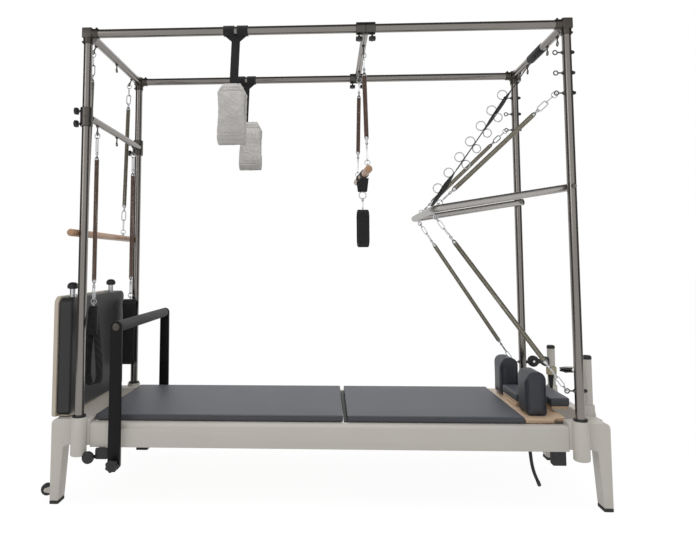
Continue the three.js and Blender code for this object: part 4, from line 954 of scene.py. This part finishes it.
# Roll-down bar. A lacquered hardwood dowel with two screw eyes. Two oiled grey springs hang it from the
# eyebolts of the foot rail.
def hardwood(name, light, dark, stretch):
    """Lacquered hardwood: grain lines about 3 mm apart that run along the bar, under a clear coat."""
    material, tree, place = start_material(name)
    grain = add_node(tree, "Mapping", inputs={"Vector": place, "Scale": stretch})
    lines = add_node(tree, "TexNoise", inputs={
        "Vector": grain, "Scale": 1000 / 6, "Detail": 5, "Distortion": 0.8})
    tone = add_node(tree, "MixRGB", inputs={"Fac": lines, "Color1": linear(dark), "Color2": linear(light)})
    bump = add_node(tree, "Bump", inputs={"Height": lines, "Distance": 0.0001})
    end_material(tree, {"Base Color": tone, "Roughness": 0.4, "Normal": bump, "Coat Weight": 0.3,
                        "Coat Roughness": 0.2})
    return material


dowel_wood = hardwood("lacquered beech", "c09a78", "946d4e", (1, 0.04, 1))


def wood_bar(half, radius):
    """A dowel laid across at the origin, with rounded ends."""
    dowel = two_halves([(0, -half), (radius - 5, -half), (radius - 1.5, 2 - half), (radius, 6 - half)])
    return crosswise(turned(dowel, 40), (0, 0, 0))


def screw_eye(spot, spin=0.0):
    """A screw eye that stands on a bar 6 mm below its ring's middle, at spot."""
    stem = turned([(0, -12), (3, -12), (3, -6), (0, -6)], 12)
    plate = turned([(0, -7.5), (7, -7.5), (7, -5.5), (0, -5.5)], 20)
    ring = placed(torus(8, 2.2, 24, 8), (0, 0, 0), (1, 0, 0))
    return placed(joined(stem, plate, ring), spot, (0, 0, 1), (math.sin(-spin), math.cos(spin), 0))


roll_down_top = Vector((-post_x, 0, top_z)) + Vector((-roll_down_way.x, 0, roll_down_way.z)) * 50
roll_down_bar = Vector((-1088.5, 0, 1152))
set_piece("roll_down_dowel", placed(wood_bar(400, 16), roll_down_bar), dowel_wood, "roll_down",
          ["roll_down_bar"])
eye_spots = [roll_down_bar + Vector((0, y, 22)) for y in (-hanger_y, hanger_y)]
set_piece("roll_down_eyes", joined(*(screw_eye(spot) for spot in eye_spots)), chrome, "roll_down")
for side, spot in zip(("front", "rear"), eye_spots):
    hung_spring(f"roll_down_spring_{side}", roll_down_top + axis_y * spot.y, spot, 140, 670, 11, bright_wire,
                "roll_down")

# Leg springs. They hang from the crossbar on the foot posts. The front one carries a folded webbing loop, the
# rear one a padded ankle cuff.
def strip(width, thickness):
    """The section of a webbing strap: thickness in x, width in y, with soft edges."""
    return rounded_box(-thickness / 2, -width / 2, thickness / 2, width / 2, thickness * 0.45, steps=2)


leg_eye_z = 835
for side, toward_y in table_sides:
    start, end = [(crossbar_x, toward_y * hanger_y, z) for z in (crossbar_z - 50, leg_eye_z)]
    hung_spring(f"leg_spring_{side}", start, end, 122, 672, 10.5, brown_wire,
                f"leg_hanger_{side}")
drop_top, drop_bottom = 826, 482
drop_steps = 36
teardrop, drop_leans = [], []
# The strap goes down on the head side and up again on the foot side, widest near its lower end.
for i in range(drop_steps):
    share = i / drop_steps * 2
    down_share = share if share <= 1 else 2 - share
    half = 25 * math.sin(math.pi * down_share ** 2.2) ** 0.75 + 2.5
    z = drop_bottom + (drop_top - drop_bottom) * (0.5 + 0.5 * math.cos(math.pi * down_share))
    teardrop.append((crossbar_x + 10 * down_share ** 2 + (half if share <= 1 else -half), -hanger_y, z))
    drop_leans.append(Vector((0.55 if share <= 1 else 0.75, 1, 0)))
webbing_loop = swept(teardrop, strip(38, 3.4), drop_leans, closed=True)
stitch_block = along_y(rounded_box(-1064, 700, -1022, 812, 5), -hanger_y - 9, -hanger_y + 9, 1)
loop_eyes = [placed(torus(9, 2.2, 24, 8), (crossbar_x, y, leg_eye_z), axis_x) for y in (-hanger_y, hanger_y)]
set_piece("leg_loop_front_strap", joined(webbing_loop, stitch_block), webbing, "leg_hanger_front",
          ["leg_loop_front"])
set_piece("leg_loop_front_eye", loop_eyes[0], chrome, "leg_hanger_front")


def ring_band(half_depth, top, bottom, thickness, width, radius_share):
    """A closed band from bottom to top, half_depth deep on both sides of y 0 and width wide along x."""
    wall = thickness / 2
    middle = rounded_box(wall - half_depth, bottom + wall, half_depth - wall, top - wall,
                         half_depth * radius_share)
    section = rounded_box(-wall, -width / 2, wall, width / 2, min(thickness * 0.45, 6), steps=3)
    return swept([(0, y, z) for y, z in middle], section, axis_x, closed=True)


cuff = placed(ring_band(27, 828, 484, 9, 70, 0.7), (crossbar_x, hanger_y, 0))
rear_cuff = set_piece("leg_loop_rear_cuff", cuff, webbing, "leg_hanger_rear", ["leg_loop_rear"])
stuffed(rear_cuff, 0.012, 0.003)
set_piece("leg_loop_rear_eye", loop_eyes[1], chrome, "leg_hanger_rear")

# Trapeze. A hardwood bar on two browned springs under its slider, hanging slightly turned, with a webbing
# sling and a padded black loop below it.
trapeze_eye_z = top_z - 50
trapeze_bar_z = 1442
trapeze_turn = 0.07
spin = Matrix.Translation((trapeze_x, 0, 0)) @ Matrix.Rotation(trapeze_turn, 4, "Z")
bar = placed(wood_bar(230, 17), (0, 0, trapeze_bar_z))
bar.transform(spin)
set_piece("trapeze_dowel", bar, dowel_wood, "trapeze", ["trapeze_bar"])
bar_eyes = []
for side, toward_y in table_sides:
    spot = spin @ Vector((0, toward_y * trapeze_y, trapeze_bar_z + 23))
    bar_eyes.append(screw_eye(spot, trapeze_turn))
    hung_spring(f"trapeze_spring_{side}", (trapeze_x, toward_y * trapeze_y, trapeze_eye_z), spot, 108, 400,
                11, brown_wire, "trapeze")
set_piece("trapeze_eyes", joined(*bar_eyes), chrome, "trapeze")
sling_leg = swept([(0, 66, trapeze_bar_z - 20), (0, 40.92, 1398), (0, 9.9, 1366)], strip(44, 3.4), axis_x)
sling_wrap = crosswise(turned(two_halves([(17.3, -22), (20.5, -22), (21, -21)]), 40), (0, 66, trapeze_bar_z))
sling_strap = both_sides(joined(sling_leg, sling_wrap))
sling_strap.transform(spin)
set_piece("trapeze_sling_strap", sling_strap, webbing, "trapeze", ["trapeze_sling"])
sling_pad = ring_band(42, 1277, 1095, 12, 54, 0.8)
sling_pad.transform(spin)
stuffed(set_piece("trapeze_sling_loop", sling_pad, webbing, "trapeze"), 0.01, 0.003)
sling_ring = crosswise(torus(17, 2.6, 32, 10), (0, 0, 1347))
sling_snap = placed(long_link(8.5, 2.6, 24), (0, 0, 1289), (1, 0, 0), (0, 0, 1))
sling_swivel = turned([(0, 1318), (5, 1318), (6, 1320), (6, 1328), (4, 1331), (0, 1331)], 20)
sling_metal = joined(sling_ring, sling_snap, sling_swivel)
sling_metal.transform(spin)
set_piece("trapeze_sling_hook", sling_metal, chrome, "trapeze")

# Fleece loops. From each long rail a cuff of long-pile fleece hangs in a black webbing hanger that goes round
# the rail twice. The pile is worked into the cuff's mesh in coarse and fine tufts.
fleece, fleece_tree, fleece_place = start_material("grey-white pile fleece")
tufts = add_node(fleece_tree, "TexNoise", inputs={
    "Vector": fleece_place, "Scale": 1000 / 5, "Detail": 5, "Roughness": 0.6})
drifts = add_node(fleece_tree, "TexNoise", inputs={"Vector": fleece_place, "Scale": 1000 / 90, "Detail": 2})
# Where the tufts are low the colour is darker: painted shade in the hollows of the pile. The broad drifts are
# random tone.
pile_shade_and_tone = add_node(fleece_tree, "Math", {"operation": "MULTIPLY_ADD"}, {0: tufts, 1: 0.35, 2: drifts})
pile_colour = add_node(fleece_tree, "MixRGB", inputs={
    "Fac": pile_shade_and_tone, "Color1": linear("9f9b97"), "Color2": linear("d0cdca")})
pile_bump = add_node(fleece_tree, "Bump", inputs={"Height": tufts, "Distance": 0.003})
end_material(fleece_tree, {"Base Color": pile_colour, "Roughness": 0.95, "Sheen Weight": 0.4,
                           "Sheen Roughness": 0.6, "Normal": pile_bump})
fleece_x, hanger_drop = -400, 230
shoulder_height, shoulder_draw = 0.052, 0.48
for side, toward_y, strap_shift, cuff_shift in (("front", -1, 14, 0), ("rear", 1, -38, -12)):
    hook = Vector((fleece_x, toward_y * post_y, top_z))
    body = f"fleece_loop_{side}"
    cuff = ring_band(38, -hanger_drop - 2, -hanger_drop - 283, 20, 122, 0.86)
    pile = set_piece(f"{body}_pile", placed(cuff, hook + axis_x * cuff_shift), fleece, body, [body])
    stuffed(pile, 0.012, 0.005)
    fluffed = bmesh.new()
    fluffed.from_mesh(pile.data)
    for _ in range(3):
        bmesh.ops.smooth_vert(fluffed, verts=fluffed.verts, factor=0.5, use_axis_x=True, use_axis_y=True,
                              use_axis_z=True)
    bmesh.ops.triangulate(fluffed, faces=fluffed.faces)
    for _ in range(2):
        bmesh.ops.subdivide_edges(fluffed, edges=fluffed.edges, cuts=1, use_grid_fill=True)
    fluffed.to_mesh(pile.data)
    fluffed.free()
    cuff_x, _, cuff_top = in_frame(fleece_x + cuff_shift, 0, top_z - hanger_drop)
    for vertex, normal in zip(pile.data.vertices, [v.normal.copy() for v in pile.data.vertices]):
        shoulder = max(0, 1 - (cuff_top - vertex.co.z) / shoulder_height)
        vertex.co.x = cuff_x + (vertex.co.x - cuff_x) * (1 - shoulder_draw * shoulder)
        vertex.co += normal * 0.0016 * (noise.fractal(vertex.co * 60, 0.8, 2.1, 3) + 0.1)
        vertex.co += normal * 0.0011 * noise.fractal(vertex.co * 210, 0.8, 2.1, 2)
    band_profile = two_halves([(19.4, -24), (23, -24), (23.4, -23)])
    bands = [placed(turned(band_profile, 40), (x, 0, 0), axis_x) for x in (-30, 30)]
    yoke = along_y([(-54, -18), (-19, -48), (19, -48), (54, -18)], -2.4, 2.4, 0.8)
    tail = swept([(0, 0, -44), (-4, 0, -140), (-8, 0, -hanger_drop - 6)], strip(38, 3.6), axis_x)
    hanger = placed(joined(*bands, yoke, tail), hook + axis_x * strap_shift)
    set_piece(f"{body}_hanger", hanger, webbing, body)

# Push-through bar. One bent satin stainless tube turns on bolts through the head posts. Grey springs pull it
# up and down, hooked in chromed eyebolts along its far run.
push_pivot_z = 1338
push_end = Vector((478, 0, 1250))
push_pivot = Vector((post_x, 0, push_pivot_z))
arm_way = (push_end - push_pivot).normalized()
arm_y, bend_radius = 310, 42
bend_middle = push_end - arm_way * bend_radius + axis_y * (bend_radius - arm_y)
half_path = [push_pivot + arm_way * run - axis_y * arm_y for run in (-16, 200)]
for i in range(11):
    angle = math.pi / 2 * i / 10
    half_path.append(bend_middle + (arm_way * math.sin(angle) - axis_y * math.cos(angle)) * bend_radius)
push_path = half_path + [Vector((spot.x, -spot.y, spot.z)) for spot in reversed(half_path)]


def square_to(way):
    """The direction square to one in the plane of X and Z."""
    return Vector((way.z, 0, -way.x))


push_tube = swept(push_path, arc(0, 0, bar_radius, 0, 345, 23), square_to(arm_way))
satin_steel = worked_surface("satin stainless tube", "b6b3b0", "a8a5a1", 400, 0.7, 0.008, 0.4,
                             (0.05, 1, 1), 0.05, Metallic=1.0)
set_piece("push_bar_tube", push_tube, satin_steel, "push_bar", ["push_bar"])
end_cap = [(0, -3), (12, -3), (15, -1.5), (16.4, 0.5), (16.4, 8), (0, 8)]
end_cap = placed(turned(end_cap, 28), half_path[0], arm_way)
set_piece("push_bar_caps", both_sides(end_cap), moulded_black, "push_bar")
pivot_bolt = [(0, -21), (9, -21), (9, -16.5), (6, -16.5), (6, 58), (10, 58), (10, 67), (8, 69), (0, 69)]
pivot_bolt = crosswise(turned(pivot_bolt, 20), push_pivot + axis_y * arm_y)
set_piece("push_bar_pivot_bolts", both_sides(pivot_bolt), dull_nickel, "frame")
eye_x = post_x - 50
upper_way = (Vector((eye_x, 0, upper_eyes_z[0])) - push_end).normalized()
lower_way = (Vector((eye_x, 0, lower_eye_z)) - push_end).normalized()
push_reach = 36
upper_y, lower_y = 252, 222
push_eyes = [eyebolt(push_end + axis_y * y, upper_way, square_to(upper_way), bar_radius, push_reach)
             for y in (-upper_y, 0, upper_y)]
push_eyes += [eyebolt(push_end + axis_y * y, lower_way, axis_y, bar_radius, push_reach)
              for y in (-lower_y, lower_y)]
set_piece("push_bar_eyebolts", joined(*push_eyes), chrome, "push_bar")
for side, toward_y in table_sides:
    for level, way, bar_y, eye_z, coil_start, coil_end, across in (
        ("upper", upper_way, upper_y, upper_eyes_z[0], 100, 555, axis_y),
        ("lower", lower_way, lower_y, lower_eye_z, 140, 755, square_to(lower_way)),
    ):
        at_bar = push_end + axis_y * toward_y * bar_y + way * push_reach
        at_post = Vector((eye_x, toward_y * post_y, eye_z))
        bend = ("frame", "push_bar", in_frame(*at_post), in_frame(*at_bar))
        hung_spring(f"push_spring_{level}_{side}", at_bar, at_post, coil_start, coil_end, 11, bright_wire,
                    bend=bend, across=across)

# Safety strap. Black webbing from a sleeve on the head rail to the middle eye of the push-through bar. It is
# twisted along its way, and short keepers hold steel rings on it.
strap_top = Vector((post_x, 0, top_z))
strap_end = push_end + upper_way * (push_reach + 23)
strap_way = (strap_end - strap_top).normalized()
strap_square = square_to(strap_way)
strap_start = strap_top + strap_way * 21
strap_length = (strap_end - strap_start).length
strap_bend = ("frame", "push_bar", in_frame(*strap_start), in_frame(*strap_end))
twists = ((0, 0), (0.22, 4), (0.3, 34), (0.43, 28), (0.52, 2), (0.76, 0), (0.86, 46), (1, 20))


def twist_at(share):
    """The strap's turn out of the plane of its rings, in degrees, at a share of its length."""
    for (low, start), (high, end) in zip(twists, twists[1:]):
        if share <= high:
            return start + (end - start) * (share - low) / (high - low)


strap_shares = [i / 48 for i in range(49)]
strap_leans = [Matrix.Rotation(math.radians(twist_at(share)), 3, strap_way) @ axis_y
               for share in strap_shares]
strap_line = [strap_start + strap_way * strap_length * share for share in strap_shares]
band = swept(strap_line, strip(38, 3.6), strap_leans)
ring_places = [strap_start + strap_way * strap_length * (0.275 + 0.104 * i) for i in range(7)]
keepers = [placed(slab(rounded_box(-9, -8, 9, 8, 3), 4.4, 1), spot - strap_square, strap_square, strap_way)
           for spot in ring_places]
wrap = crosswise(turned(two_halves([(19.3, -85), (21.5, -85), (22, -84)]), 40), strap_top)
set_piece("safety_strap_band", joined(band, *keepers), webbing, stands_for=["safety_strap"],
          bend=strap_bend)
set_piece("safety_strap_sleeve", wrap, webbing, "frame")
strap_rings = [placed(torus(22, 2.8, 40, 10), spot + strap_square * 24, (0.25, 1, 0.1), (0, 0, 1))
               for spot in ring_places]
strap_rings += [placed(torus(20, 2.6, 40, 10), spot - strap_square * 22 + strap_way * 12, (0.7, 1, 0.3),
                       (0, 0, 1)) for spot in ring_places[1:5]]
end_ring = crosswise(torus(12, 2, 28, 8), push_end + upper_way * (push_reach + 12))
set_piece("safety_strap_rings", joined(*strap_rings, end_ring), chrome, bend=strap_bend)
